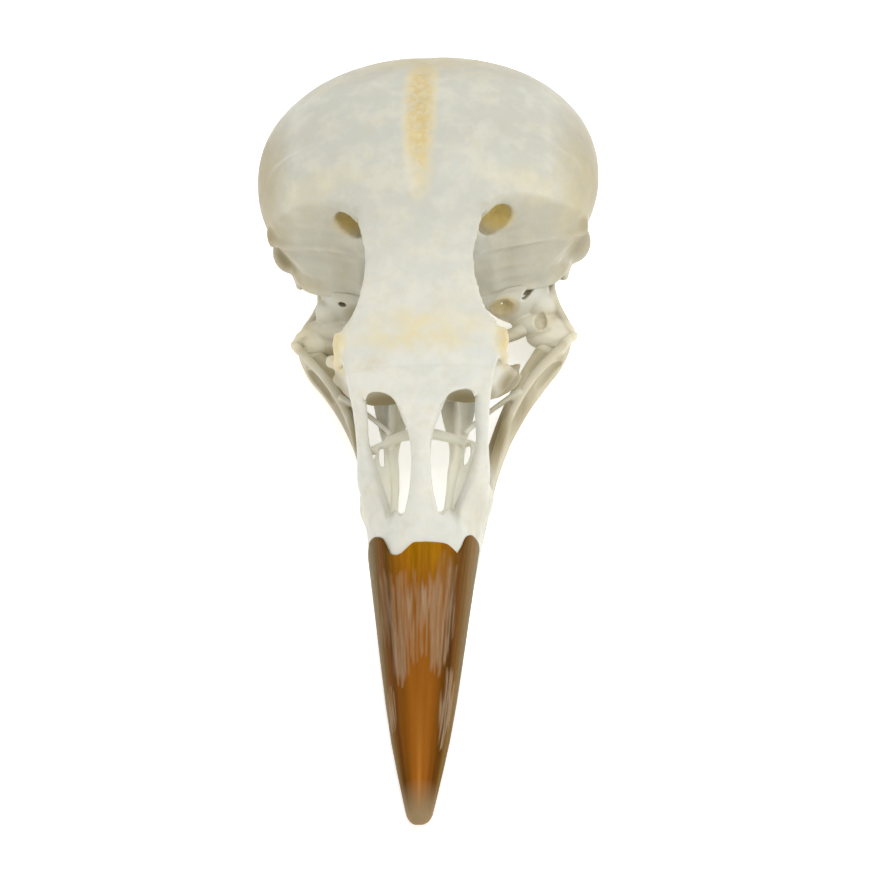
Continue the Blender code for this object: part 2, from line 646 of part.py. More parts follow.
def main():
    for piece in list(bpy.data.objects):
        bpy.data.objects.remove(piece)
    bone = plain_look("bone", (0.84, 0.81, 0.72), 0.5)
    horn = plain_look("horn", (0.42, 0.20, 0.05), 0.35)

    braincase = make_braincase(bone)
    upper_sheath = make_upper_sheath(horn)
    lower_sheath = make_lower_sheath(horn)
    keep_clear(lower_sheath, (upper_sheath,), floor=True)
    upper_beak = make_upper_beak(bone, (upper_sheath,))

    quadrates = pair(make_quadrate, "quadrate", bone)
    for quadrate in quadrates:
        keep_clear(quadrate, (braincase,))
    mandibles = pair(make_mandible, "mandible", bone)
    for mandible, quadrate in zip(mandibles, quadrates):
        keep_clear(mandible, (quadrate, lower_sheath, upper_beak, upper_sheath), floor=True)
    pterygoids = pair(make_pterygoid, "pterygoid", bone)
    for pterygoid, quadrate, mandible in zip(pterygoids, quadrates, mandibles):
        keep_clear(pterygoid, (braincase, quadrate, mandible))
    palatines = pair(make_palatine, "palatine", bone)
    for palatine, pterygoid in zip(palatines, pterygoids):
        keep_clear(palatine, (braincase, pterygoid, upper_beak))
    vomer = make_vomer(bone, (braincase, upper_beak, *palatines))
    jugals = pair(make_jugal, "jugal", bone)
    for jugal, quadrate, mandible in zip(jugals, quadrates, mandibles):
        keep_clear(jugal, (quadrate, mandible, upper_beak, vomer))
    ectethmoids = pair(make_ectethmoid, "ectethmoid", bone)
    for ectethmoid, palatine, jugal in zip(ectethmoids, palatines, jugals):
        keep_clear(ectethmoid, (braincase, upper_beak, palatine, jugal))

    for piece in bpy.data.objects:
        finish(piece)


main()
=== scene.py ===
"""Starling skull, life size: bone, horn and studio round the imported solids.

A place on the skull is (x, f, z) in millimetres: x to the bird's left, f forward from the back of
the head, z up from the floor. spot() turns it into metres.
"""
import json
import math

import bpy
import numpy as np
from mathutils import Euler, Matrix, Vector, noise
from mathutils.bvhtree import BVHTree

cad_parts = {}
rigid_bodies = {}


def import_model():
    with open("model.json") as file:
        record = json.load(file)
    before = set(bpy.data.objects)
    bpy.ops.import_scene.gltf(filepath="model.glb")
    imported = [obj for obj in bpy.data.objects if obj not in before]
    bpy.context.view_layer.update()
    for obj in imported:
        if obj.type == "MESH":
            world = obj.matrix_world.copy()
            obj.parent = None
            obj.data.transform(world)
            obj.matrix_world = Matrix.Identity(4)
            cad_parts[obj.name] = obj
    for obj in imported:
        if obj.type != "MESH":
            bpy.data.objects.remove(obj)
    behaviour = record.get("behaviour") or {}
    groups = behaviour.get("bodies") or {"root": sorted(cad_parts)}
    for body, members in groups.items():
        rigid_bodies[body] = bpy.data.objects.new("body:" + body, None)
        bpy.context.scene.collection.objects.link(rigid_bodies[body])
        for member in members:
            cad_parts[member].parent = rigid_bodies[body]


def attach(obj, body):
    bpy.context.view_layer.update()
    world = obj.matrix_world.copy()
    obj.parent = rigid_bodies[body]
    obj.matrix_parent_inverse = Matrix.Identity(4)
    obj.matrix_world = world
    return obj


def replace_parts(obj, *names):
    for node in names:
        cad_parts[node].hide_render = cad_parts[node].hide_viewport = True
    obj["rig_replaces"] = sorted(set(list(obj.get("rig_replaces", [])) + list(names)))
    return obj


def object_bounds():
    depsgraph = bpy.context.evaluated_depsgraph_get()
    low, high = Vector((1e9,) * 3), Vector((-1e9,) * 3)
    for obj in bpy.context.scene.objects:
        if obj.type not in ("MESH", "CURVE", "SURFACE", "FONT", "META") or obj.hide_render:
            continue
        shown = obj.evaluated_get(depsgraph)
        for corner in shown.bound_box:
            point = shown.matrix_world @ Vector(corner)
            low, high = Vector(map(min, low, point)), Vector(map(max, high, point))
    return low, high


bl_info = {
    "name": "Starling skull",
    "version": (1, 0, 0),
    "blender": (4, 5, 0),
    "location": "View3D > Sidebar > Skull",
    "description": "Bones and horn of a life-size starling skull, with a plain studio",
    "category": "Add Mesh",
}

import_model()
CAD_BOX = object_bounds()
MM = 0.001
SKULL_LENGTH = 55.5
MIDDLE_F = SKULL_LENGTH / 2
BOTH_SIDES = (("left", 1), ("right", -1))
# Grain in mm at which the solids of a bone are run together
HEAD_GRAIN = 0.15
JAW_GRAIN = 0.11
FACE_GRAIN = 0.095
STRUT_GRAIN = 0.08
SMALL_GRAIN = 0.075
# Angles of the smaller rings that round off the ends of a bar
END_RINGS = (25, 50, 72)

# Heights of the bill's ridge and lower edge and its half width, along f
RIDGE = ((24.0, 12.2), (25.8, 11.7), (28.0, 11.0), (33.0, 9.2), (37.2, 7.7), (45.0, 5.0),
         (50.0, 3.5), (SKULL_LENGTH, 1.8))
TOMIUM = ((28.0, 3.2), (34.0, 3.1), (37.2, 2.9), (45.0, 2.2), (50.0, 1.75), (SKULL_LENGTH, 1.2))
BILL_HALF = ((28.0, 4.45), (30.5, 4.15), (34.0, 3.6), (37.1, 3.25), (40.2, 2.9), (43.3, 2.55), (46.3, 2.2),
             (49.3, 1.79), (51.5, 1.4), (53.7, 0.98), (54.7, 0.78), (SKULL_LENGTH, 0.66))
BILL_SQUARENESS = 2.3
# Length over which a tip is rounded, and the square of the share of its width that is left at its very end
TIP_ROUND = 1.0
TIP_LEAST = 0.0004
# How far out the bone may reach, how much deeper it lies under the horn, and how softly it is held
# there, as shares of the bill's outline
BARE_REACH = 0.995
HORN_DEPTH = 0.04
SOFT = 0.1
# Where along f the bone begins to be held inside the outline, where it is held fully, and how much
# further out it may reach before that
HELD_FROM = 29.0
HELD_FULLY = 33.5
FREE_REACH = 0.5
# Half the length over which the bone sinks at the horn's edge
EDGE_SLOPE = 0.1
# Rear edge of the horn seen along the bill: from -1 at one lower edge over the ridge to 1 at the other
HORN_EDGE = ((-1.0, 35.1), (-0.98, 35.15), (-0.95, 35.25), (-0.88, 35.67), (-0.8, 36.14), (-0.72, 36.64),
             (-0.63, 37.8), (-0.58, 38.07), (-0.5, 38.3), (-0.4, 38.35), (-0.3, 38.15), (-0.15, 37.84),
             (0.0, 37.82), (0.3, 37.78), (0.5, 37.7), (0.63, 37.8), (0.7, 37.83), (0.76, 37.15),
             (0.8, 36.38), (0.88, 35.7), (0.95, 35.2), (0.98, 34.9), (1.0, 34.6))
# The bill leans to the bird's left for each mm above a level, and for each mm of f past a place
BILL_LEAN = 0.05
BILL_LEAN_LEVEL = 4.5
BILL_SWING = 0.0125
BILL_SWING_F = 43.5
# Where along f the lean begins, and where it is full
LEAN_FROM = 30.0
LEAN_FULLY = 35.0

# Orbit seen from above as x and f: edge of the roof, open side, and rim across the front of the braincase
ROOF_EDGE = ((4.15, 16.2), (3.9, 17.3), (3.62, 18.4), (3.46, 19.3), (3.51, 20.1), (3.7, 21.2), (4.08, 22.5),
             (4.45, 23.1), (4.9, 23.6), (5.4, 23.95))
OPEN_SIDE = ((6.5, 24.2), (9.0, 24.3), (14.0, 24.3), (14.0, 18.0), (14.0, 12.0))
REAR_RIM = ((11.0, 12.0), (10.1, 12.75), (9.65, 13.3), (8.8, 13.8), (7.9, 14.16), (7.0, 14.48), (6.0, 14.85),
            (5.2, 15.1), (4.65, 15.45), (4.35, 15.75))
RIM_X = [x for x, _ in reversed(REAR_RIM)]
RIM_F = [f for _, f in reversed(REAR_RIM)]
# Height of the roof between the orbits, along f, its thickness at the rim, and how far below its top
# the orbit has reached the septum
ROOF_TOP = ((14.5, 15.95), (16.0, 15.4), (17.5, 14.95), (19.1, 14.45), (21.6, 13.5), (23.4, 12.75),
            (24.6, 12.15))
ROOF_THICKNESS = 0.55
ROOF_UNDERSIDE = 1.5
# Half thickness of the wall between the orbits, and how much further forward than the roof's edge the
# orbit meets it
SEPTUM_HALF = 0.32
SEPTUM_FORWARD = 0.5
# Levels between which the space of an orbit is cut
ORBIT_TOP = 20.0
ORBIT_FLOOR = 3.2
# The orbit's rear wall: where it ends along f, and how much further forward it stands for each mm below
# a level
WALL_END = 17
WALL_SLOPE = 0.08
WALL_SLOPE_TOP = 12.5
# Nostril seen from above, as x and f
NOSTRIL = ((2.6, 28.15), (2.15, 28.3), (1.7, 28.7), (1.2, 29.4), (0.86, 30.1), (0.68, 30.9), (0.6, 31.9),
           (0.63, 33.0), (0.78, 34.2), (1.03, 35.3), (1.14, 35.8), (1.4, 35.2), (1.75, 33.9), (2.1, 32.8),
           (2.57, 31.5), (2.95, 30.2), (3.24, 29.5), (3.37, 28.9), (3.25, 28.35), (2.95, 28.15))


def tint(red, green, blue):
    """A colour read off as 0 to 255, as the shader wants it."""
    return tuple(
        part / 12.92 if part <= 0.04045 else ((part + 0.055) / 1.055) ** 2.4
        for part in (red / 255, green / 255, blue / 255))


def colour_setting(name, about, colour):
    return bpy.props.FloatVectorProperty(
        name=name, description=about, subtype="COLOR", size=3, min=0, max=1, default=colour)


def number_setting(name, about, value):
    return bpy.props.FloatProperty(name=name, description=about, default=value)


def size_setting(name, about, value):
    """A size in millimetres."""
    return bpy.props.FloatProperty(name=name, description=about, default=value, min=0)


class SkullSizes(bpy.types.PropertyGroup):
    cranium_width: size_setting("Cranium width", "Width of the braincase, in mm", 22.2)
    cranium_length: size_setting("Cranium length", "Length of the braincase, in mm", 17.6)
    cranium_top: size_setting("Cranium top", "Height of the top of the head, in mm", 17.5)
    dome_level: size_setting("Dome level", "Height of the widest part of the braincase, in mm", 10.6)
    hinge_f: size_setting("Bill hinge", "From the back of the head to the bill's hinge, in mm", 26.2)
    lower_horn_f: size_setting("Lower horn edge", "From the back of the head to the lower horn", 38.6)
    lower_tip_f: size_setting("Lower tip", "From the back of the head to the lower jaw's tip", 54.0)
    palate_shift: number_setting("Palate shift", "How far the palate lies to the bird's right, in mm", 0.3)
    ripple: size_setting("Ripple", "Height of the soft waves of the bone, in mm", 0.035)
    roughness: size_setting("Rough bone", "Height of the crumbly bone on the knobs, in mm", 0.11)


class SkullColours(bpy.types.PropertyGroup):
    # The dome colour is partly the thin bone's own grey and partly painted shade over the braincase
    dome: colour_setting("Dome", "Thin grey-white bone of the braincase", tint(191, 190, 177))
    face: colour_setting("Face", "White bone of the forehead and face", tint(213, 212, 201))
    haze: colour_setting("Haze", "Broad cool clouds in the bone", tint(192, 195, 188))
    milk: colour_setting("Milk", "Smaller warm clouds in the bone", tint(224, 218, 196))
    dust: colour_setting("Dust", "Fine dull specks in the bone", tint(190, 182, 152))
    cream: colour_setting("Cream", "Oily cream stains", tint(213, 200, 157))
    ochre: colour_setting("Ochre", "Yellow-orange crumbly bone", tint(198, 170, 100))
    olive: colour_setting("Olive", "Bone in the shade of the hollows", tint(150, 136, 98))
    deep_olive: colour_setting("Deep olive", "Darkest bone in the shade", tint(104, 92, 60))
    # Umber is painted shade in the deepest hollows
    deepest_hollow_shade: colour_setting("Umber", "Deepest hollows", tint(116, 82, 36))
    gold: colour_setting("Gold", "Bone inside the openings over the orbits", tint(210, 188, 116))
    # A pale tint that paints light onto bone lying in shade under the head
    clean: colour_setting("Clean", "Clean bone of the palate", tint(248, 246, 230))
    # This tan is painted shade: it darkens the low bone of the jaws and bars under the head, which faces
    # away from the light
    tan: colour_setting("Tan", "Oily bone of the jaws and bars under the head", tint(184, 174, 143))
    horn_gold: colour_setting("Horn gold", "Thin rear edge of the horn", tint(156, 106, 2))
    horn_amber: colour_setting("Horn amber", "Body of the horn", tint(140, 84, 20))
    # This dark colour is the streaks' own and also painted shade on the horn's sides
    horn_dark_and_side_shade: colour_setting("Horn dark", "Sides of the horn", tint(56, 34, 2))
    horn_rim: colour_setting("Horn rim", "Olive rim low on the horn's sides", tint(100, 84, 16))
    horn_cloud: colour_setting("Horn clouds", "Warm clouds in the horn", tint(168, 98, 36))
    # A painted highlight along the ridge near the horn's tip
    horn_ridge_highlight: colour_setting("Horn ridge", "Light ridge near the horn's tip", tint(190, 128, 54))
    horn_flake: colour_setting("Horn flakes", "Lifted flakes of the horn", tint(160, 138, 110))
    horn_tip: colour_setting("Horn tip", "Pale tip of the horn", tint(140, 120, 88))
    floor: colour_setting("Floor", "Studio floor and backdrop", tint(255, 255, 254))


class SkullStudio(bpy.types.PropertyGroup):
    key_power: number_setting("Key light", "Power of the key light, in W", 1.4)
    fill_power: number_setting("Fill light", "Power of each fill light, in W", 0.35)
    floor_glow: number_setting("Floor glow", "Strength of the floor's own light", 0.45)
    world_strength: number_setting("Room light", "Strength of the even room light", 0.75)


def spot(x, f, z):
    """A place on the skull as a vector in metres."""
    return Vector((x * MM, (MIDDLE_F - f) * MM, z * MM))


def along(table, f):
    """A value read between the places of a short table, in straight lines."""
    return float(np.interp(f, [place for place, _ in table], [value for _, value in table]))


def between(stations, steps):
    """More stations along the same smooth route."""
    ends = [stations[0]] + list(stations) + [stations[-1]]
    route = []
    for i in range(1, len(ends) - 2):
        before, start, end, after = (np.array(ends[j], float) for j in (i - 1, i, i + 1, i + 2))
        for step in range(steps):
            t = step / steps
            route.append(0.5 * (
                2 * start + (end - before) * t + (2 * before - 5 * start + 4 * end - after) * t * t
                + (3 * start - before - 3 * end + after) * t ** 3))
    route.append(np.array(stations[-1], float))
    return route


def bill_outline(f):
    """The bill's half width, lower edge and height above that edge, at one f or many."""
    half, low, top = (np.interp(f, *zip(*table)) for table in (BILL_HALF, TOMIUM, RIDGE))
    return half, low, top - low


def smooth_step(values, low, high):
    t = np.clip((values - low) / (high - low), 0, 1)
    return t * t * (3 - 2 * t)


def pick(*pieces):
    """Only these pieces are selected, and the first is active."""
    bpy.ops.object.select_all(action="DESELECT")
    for piece in pieces:
        piece.select_set(True)
    bpy.context.view_layer.objects.active = pieces[0]


def apply(piece, kind, **settings):
    """A modifier added to the piece and applied."""
    pick(piece)
    modifier = piece.modifiers.new(kind.lower(), kind)
    for name, value in settings.items():
        setattr(modifier, name, value)
    bpy.ops.object.modifier_apply(modifier=modifier.name)


def points_of(piece):
    """The vertices' places as an array, in metres."""
    places = np.empty(len(piece.data.vertices) * 3)
    piece.data.vertices.foreach_get("co", places)
    return places.reshape(-1, 3)


def move_points(piece, places):
    piece.data.vertices.foreach_set("co", np.asarray(places, float).ravel())
    piece.data.update()


def normals_of(piece):
    normals = np.empty(len(piece.data.vertices) * 3)
    piece.data.vertex_normals.foreach_get("vector", normals)
    return normals.reshape(-1, 3)


def skull_places(piece):
    """The vertices' places as x, f and z in millimetres."""
    places = points_of(piece) / MM
    return np.column_stack((places[:, 0], MIDDLE_F - places[:, 1], places[:, 2]))


def ball(name, across, rows):
    """A round primitive of radius 1 to be shaped."""
    bpy.ops.object.select_all(action="DESELECT")
    bpy.ops.mesh.primitive_uv_sphere_add(segments=across, ring_count=rows, radius=1)
    piece = bpy.context.active_object
    piece.name = name
    return piece


def lump(name, centre, semis, power=2.0, turn=(0, 0, 0), across=36, rows=24):
    """A ball drawn out to half axes in x, f and z, squarer with a higher power, and turned."""
    piece = ball(name, across, rows)
    unit = points_of(piece)
    reach = (np.abs(unit) ** power).sum(axis=1) ** (-1 / power)
    turned = np.array(Euler([math.radians(angle) for angle in turn]).to_matrix())
    places = (unit * reach[:, None] * np.array(semis) * MM) @ turned.T + np.array(spot(*centre))
    move_points(piece, places)
    return piece


def power_curve(count, power):
    """Points of a superellipse of half axes 1, as two arrays."""
    angles = 2 * np.pi * np.arange(count) / count
    c, s = np.cos(angles), np.sin(angles)
    reach = (np.abs(c) ** power + np.abs(s) ** power) ** (-1 / power)
    return c * reach, s * reach


def loft(name, rows):
    """A ball whose rings are drawn out onto the given rings of points; its poles close the ends."""
    grid = np.array(rows, float)
    count, across = grid.shape[:2]
    piece = ball(name, across, count + 1)
    unit = points_of(piece)
    row = np.rint(np.arccos(np.clip(unit[:, 2], -1, 1)) / np.pi * (count + 1)).astype(int)
    column = np.rint(np.arctan2(unit[:, 1], unit[:, 0]) / (2 * np.pi) * across).astype(int) % across
    places = grid[np.clip(row - 1, 0, count - 1), column]
    places[row == 0] = grid[0].mean(axis=0)
    places[row == count + 1] = grid[-1].mean(axis=0)
    move_points(piece, places)
    pick(piece)
    bpy.ops.object.mode_set(mode="EDIT")
    bpy.ops.mesh.select_all(action="SELECT")
    bpy.ops.mesh.normals_make_consistent(inside=False)
    bpy.ops.object.mode_set(mode="OBJECT")
    return piece


def upright(name, stations, power=2.0, across=56, steps=5):
    """A solid along the middle from upright sections of (f, half width, lowest z, highest z)."""
    c, s = power_curve(across, power)
    return loft(name, [
        [spot(x * half, f, (low + high) / 2 + z * (high - low) / 2) for x, z in zip(c, s)]
        for f, half, low, high in between(stations, steps)])


def bar(name, stations, side=1, power=2.0, across=20, steps=5, up=(0, 0, 1), shift=0.0):
    """A round-ended bar along stations of (x, f, z, half width, half height)."""
    route = between(stations, steps)
    places = [spot(side * x - shift, f, z) for x, f, z, _, _ in route]
    c, s = power_curve(across, power)
    rows = []
    for i, (_, _, _, width, height) in enumerate(route):
        run = (places[min(i + 1, len(places) - 1)] - places[max(i - 1, 0)]).normalized()
        side_way = run.cross(Vector(up)).normalized()
        rise = side_way.cross(run).normalized()
        ring = np.outer(c * width * MM, side_way) + np.outer(s * height * MM, rise)
        middle = np.array(places[i])
        ends = []
        if i in (0, len(places) - 1):
            blunt = min(width, height) * MM * (-1 if i == 0 else 1)
            ends = [(middle + np.array(run) * blunt * math.sin(angle), ring * math.cos(angle))
                    for angle in map(math.radians, END_RINGS)]
        if i == 0:
            rows += [at + shrunk for at, shrunk in reversed(ends)]
        rows.append(middle + ring)
        if i == len(places) - 1:
            rows += [at + shrunk for at, shrunk in ends]
    return loft(name, rows)


def carve(piece, cutters):
    """The closed cutters are taken out of the piece, and go."""
    group = bpy.data.collections.new("cutters")
    bpy.context.scene.collection.children.link(group)
    for cutter in cutters:
        for home in list(cutter.users_collection):
            home.objects.unlink(cutter)
        group.objects.link(cutter)
    apply(piece, "BOOLEAN", operation="DIFFERENCE", operand_type="COLLECTION", collection=group,
          solver="MANIFOLD")
    for cutter in cutters:
        bpy.data.objects.remove(cutter)
    bpy.data.collections.remove(group)


def keep_largest(piece):
    """Only the largest closed surface stays."""
    pick(piece)
    bpy.ops.object.mode_set(mode="EDIT")
    bpy.ops.mesh.select_all(action="SELECT")
    bpy.ops.mesh.separate(type="LOOSE")
    bpy.ops.object.mode_set(mode="OBJECT")
    parts = sorted(bpy.context.selected_objects, key=lambda part: len(part.data.vertices))
    for part in parts[:-1]:
        bpy.data.objects.remove(part)
    return parts[-1]


def fuse(name, pieces, grain, cutters=()):
    """One bone from overlapping solids: run together, carved, and smoothed."""
    bone = pieces[0]
    pick(*pieces)
    if len(pieces) > 1:
        bpy.ops.object.join()
    apply(bone, "REMESH", mode="VOXEL", voxel_size=grain * MM)
    if cutters:
        carve(bone, cutters)
        apply(bone, "REMESH", mode="VOXEL", voxel_size=grain * MM)
    apply(bone, "SMOOTH", factor=0.5, iterations=2)
    bone = keep_largest(bone)
    bone.name = name
    bone.data.name = name
    bone.data.materials.clear()
    return bone


def blob(places, centre, radii):
    """1 at the centre, fading to 0 at the radii."""
    away = (((places - np.array(centre)) / np.array(radii)) ** 2).sum(axis=1)
    return np.clip(1 - away, 0, 1)


def waves(places, size, seed=0.0):
    """Soft noise from -1 to 1 whose hills are about this far apart."""
    lift = Vector((seed, seed * 1.7, seed * 0.6))
    return np.array([noise.noise(Vector(place) / size + lift) for place in places])


def layered(places, layers):
    """Soft noise summed from layers of (share, size, seed)."""
    return sum(share * waves(places, size, seed) for share, size, seed in layers)


# Stained places of the bone: centre, radii and strength of each. First yellow, crumbly bone
OCHRE_PLACES = (
    ((0, 9.0, 17.6), (0.95, 6.5, 3.5), 0.8), ((4.6, 14.0, 13.1), (1.7, 1.3, 1.5), 1.0),
    ((-4.6, 14.0, 13.1), (1.7, 1.3, 1.5), 0.9), ((5.5, 24.2, 11.4), (0.8, 2.0, 1.6), 0.55),
    ((-5.6, 24.0, 10.2), (1.2, 2.2, 2.0), 0.6), ((-2.9, 26.2, 11.3), (1.2, 0.8, 1.2), 0.3),
    ((9.2, 16.3, 3.4), (1.1, 0.9, 1.2), 0.7), ((-8.6, 16.2, 3.5), (1.4, 1.5, 1.2), 0.75),
    ((7.2, 15.6, 4.2), (1.0, 1.2, 1.2), 0.5), ((4.8, 16.2, 5.7), (1.2, 1.6, 1.2), 0.9),
    ((-6.8, 13.6, 6.3), (2.2, 1.4, 1.0), 0.5), ((-7.4, 13.8, 7.0), (2.2, 1.6, 1.2), 0.45),
    ((7.6, 13.6, 7.0), (1.4, 1.4, 1.0), 0.5), ((0, 2.0, 6.4), (2.6, 2.5, 2.2), 0.35),
)
# Painted shade, olive-brown, in the hollows and on surfaces turned from the light; first what is alike on
# both sides
SHADE_PLACES = tuple(((side * x, f, z), radii, strength) for side in (1, -1)
                     for (x, f, z), radii, strength in (
    ((5.3, 23.7, 7.1), (1.6, 1.9, 2.5), 1.0), ((4.75, 16.2, 5.6), (1.3, 1.2, 1.1), 0.6),
    ((7.6, 13.8, 6.9), (2.2, 1.4, 0.9), 0.5), ((5.6, 21.0, 1.8), (1.6, 3.5, 2.0), 0.7),
    ((9.2, 11.4, 6.8), (1.8, 1.8, 1.6), 0.5), ((4.6, 25.8, 3.8), (0.9, 4.5, 0.8), 0.8),
    ((4.4, 25.0, 2.7), (1.1, 4.0, 1.3), 0.9), ((9.3, 12.8, 8.6), (1.6, 1.4, 2.0), 0.55),
    ((2.7, 25.2, 7.0), (2.6, 0.9, 1.8), 0.8), ((3.4, 34.0, 5.2), (1.2, 3.5, 2.2), 0.18),
    ((4.8, 15.4, 9.0), (2.6, 1.8, 2.4), 0.3),
)) + (
    ((-9.3, 12.6, 8.4), (2.2, 2.0, 2.6), 0.9), ((-5.8, 20.5, 2.2), (2.4, 5.5, 2.4), 0.9),
    ((6.5, 19.0, 2.4), (1.2, 1.8, 1.2), 0.35), ((3.4, 34.0, 5.2), (1.2, 3.5, 2.2), 0.25),
    ((5.7, 23.7, 9.2), (1.2, 1.6, 1.2), 0.4), ((5.3, 24.6, 7.6), (1.0, 1.6, 1.6), 0.8),
    ((-4.8, 15.4, 9.0), (2.6, 1.8, 2.4), 0.35),
)
# Painted light: pale bone laid where the bone lies in shade under the head, to lighten it
PAINTED_LIGHT_PLACES = (
    ((7.8, 16.2, 3.3), (2.2, 1.5, 1.1), 0.6), ((-8.2, 16.2, 3.3), (1.5, 1.2, 1.0), 0.5),
    ((0, 29.5, 4.0), (3.6, 7.5, 2.2), 1.0), ((0, 26.4, 4.6), (4.4, 1.4, 1.3), 0.9),
    ((2.05, 23.0, 4.5), (0.6, 2.8, 0.6), 0.7), ((-2.05, 23.0, 4.5), (0.6, 2.8, 0.6), 0.9),
    ((6.2, 15.8, 5.4), (2.4, 1.2, 2.2), 0.4), ((-6.2, 15.8, 5.0), (2.2, 1.2, 2.2), 0.15),
)
# Golden bone at the bottom of the openings over the orbits' rear walls
GOLD_PLACES = (((4.6, 14.6, 13.0), (1.5, 1.2, 1.3), 1.3), ((-4.6, 14.6, 13.0), (1.5, 1.2, 1.3), 0.75),
               ((4.8, 15.9, 5.8), (1.0, 0.8, 1.0), 0.5))
# Cream, oily bone
CREAM_PLACES = (
    ((0, 24.1, 11.9), (5.2, 1.9, 2.0), 0.9), ((5.4, 24.3, 11.0), (1.0, 2.2, 2.6), 1.3),
    ((-5.4, 24.3, 11.0), (1.0, 2.2, 2.6), 1.3), ((-9.8, 10.5, 10.5), (2.6, 4.0, 4.5), 0.7),
    ((0, 8.5, 17.6), (1.3, 9.5, 4.5), 1.6), ((0, 2.6, 15.5), (5.5, 3.0, 4.0), 0.9),
    ((9.4, 11.6, 12.0), (2.4, 3.4, 3.5), 0.6), ((5.5, 13.6, 14.2), (5.0, 1.3, 2.4), 0.5),
    ((-5.5, 13.6, 14.2), (5.0, 1.3, 2.4), 0.5), ((0, 2.5, 13.0), (7.5, 5.0, 5.0), 0.5),
    ((2.0, 22.2, 12.6), (2.0, 1.3, 1.2), 0.35), ((0, 9.0, 4.2), (7.0, 7.0, 2.6), 0.7),
    ((8.6, 14.2, 5.2), (1.6, 1.8, 1.6), 0.4), ((0, 26.4, 4.8), (4.0, 1.6, 1.2), 0.4),
)
# Noise of the soft waves, of the crumbly bone, and of the wandering ridges on the orbits' walls
RIPPLE_LAYERS = ((0.7, 2.6, 0.0), (0.3, 0.9, 5.0))
CRUMB_LAYERS = ((1.0, 0.6, 9.0), (0.8, 0.32, 3.0))
RIDGE_LAYERS = ((0.5, 3.0, 7.0),)
# How far from the middle the yellow bone is crumbly
KNOBS_FROM_MIDDLE = 3.0
# The groove along the top of the head: its depth and width, the heights between which it sets in, and
# where along f it fades
CREST_GROOVE = 0.13
GROOVE_WIDTH = 0.75
GROOVE_HEIGHTS = (14.0, 16.5)
GROOVE_FADE = (13.0, 19.0)
# An orbit's rear wall sets in across these distances: past its rim, from the middle, up from its foot,
# and it fades along f
WALL_PAST_RIM = (-0.12, 0.08)
WALL_SIDEWAYS = (3.4, 4.6)
WALL_FOOT = (6.3, 7.2)
WALL_FADE = (16.6, 17.4)
# Shade, height and spacing of the soft ridges on the orbits' rear walls
WALL_SHADE = 0.22
WALL_RIDGE = 0.03
WALL_RIDGE_GAP = 1.1
# How much stronger the olive shade is than its table says
SHADE_GAIN = 1.4


def stain(places, stains, power=1.0):
    """How strongly each point is stained, from the strongest of the stains near it."""
    mask = np.zeros(len(places))
    for centre, radii, strength in stains:
        mask = np.maximum(mask, strength * blob(places, centre, radii) ** power)
    return mask


def orbit_wall(places):
    """1 on the orbits' rear walls, fading to 0 at their rims."""
    sideways = np.abs(places[:, 0])
    past_rim = places[:, 1] - np.interp(sideways, RIM_X, RIM_F)
    wall = smooth_step(past_rim, *WALL_PAST_RIM) * smooth_step(sideways, *WALL_SIDEWAYS)
    return wall * smooth_step(places[:, 2], *WALL_FOOT) * (1 - smooth_step(places[:, 1], *WALL_FADE))


def weather(bone, ripple, roughness):
    """Soft waves all over, ridges on the orbits' walls, crumbly knobs, and masks of the stains, of the
    painted shade and of the painted light.
    """
    places = skull_places(bone)
    ochre = stain(places, OCHRE_PLACES)
    wall = orbit_wall(places)
    knobs = ochre * (np.abs(places[:, 0]) > KNOBS_FROM_MIDDLE)
    lift = ripple * layered(places, RIPPLE_LAYERS)
    lift += roughness * knobs * layered(places, CRUMB_LAYERS)
    turns = places[:, 2] / WALL_RIDGE_GAP + layered(places, RIDGE_LAYERS)
    lift += WALL_RIDGE * wall * np.sin(2 * math.pi * turns)
    groove = np.exp(-(places[:, 0] / GROOVE_WIDTH) ** 2) * smooth_step(places[:, 2], *GROOVE_HEIGHTS)
    lift -= CREST_GROOVE * groove * (1 - smooth_step(places[:, 1], *GROOVE_FADE))
    move_points(bone, points_of(bone) + normals_of(bone) * (lift * MM)[:, None])
    write_mask(bone, "shade", SHADE_GAIN * np.maximum(stain(places, SHADE_PLACES), WALL_SHADE * wall))
    write_mask(bone, "gold", np.minimum(1, stain(places, GOLD_PLACES)))
    write_mask(bone, "pale", stain(places, PAINTED_LIGHT_PLACES, 0.5))
    write_mask(bone, "ochre", ochre)
    write_mask(bone, "cream", np.minimum(1, stain(places, CREAM_PLACES)))


def write_mask(piece, name, values):
    """One number for each vertex, which the material reads."""
    mask = piece.data.attributes.new(name, "FLOAT", "POINT")
    mask.data.foreach_set("value", np.asarray(values, np.float32))


def keep_in_box(piece):
    """Nothing stands outside the solids' own box."""
    low, high = (np.array(corner) for corner in CAD_BOX)
    move_points(piece, np.clip(points_of(piece), low, high))


def set_piece(piece, look, slot, *nodes):
    """The finished piece rides on the skull and stands for its nodes."""
    keep_in_box(piece)
    piece.data.materials.append(look)
    pick(piece)
    bpy.ops.object.shade_smooth()
    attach(piece, "root")
    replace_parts(piece, *nodes)


def set_bone(bone, sizes, *nodes, waviness=1.0):
    """A bone weathered and put in its place."""
    weather(bone, sizes.ripple * waviness, sizes.roughness)
    set_piece(bone, bone_look(), "bone", *nodes)


def add(tree, kind, inputs=(), **settings):
    """A node with its settings; each input is a value or another node's socket."""
    made = tree.nodes.new(kind)
    for name, value in settings.items():
        setattr(made, name, value)
    for name, value in dict(inputs).items():
        if isinstance(value, bpy.types.NodeSocket):
            tree.links.new(value, made.inputs[name])
        else:
            made.inputs[name].default_value = value
    return made


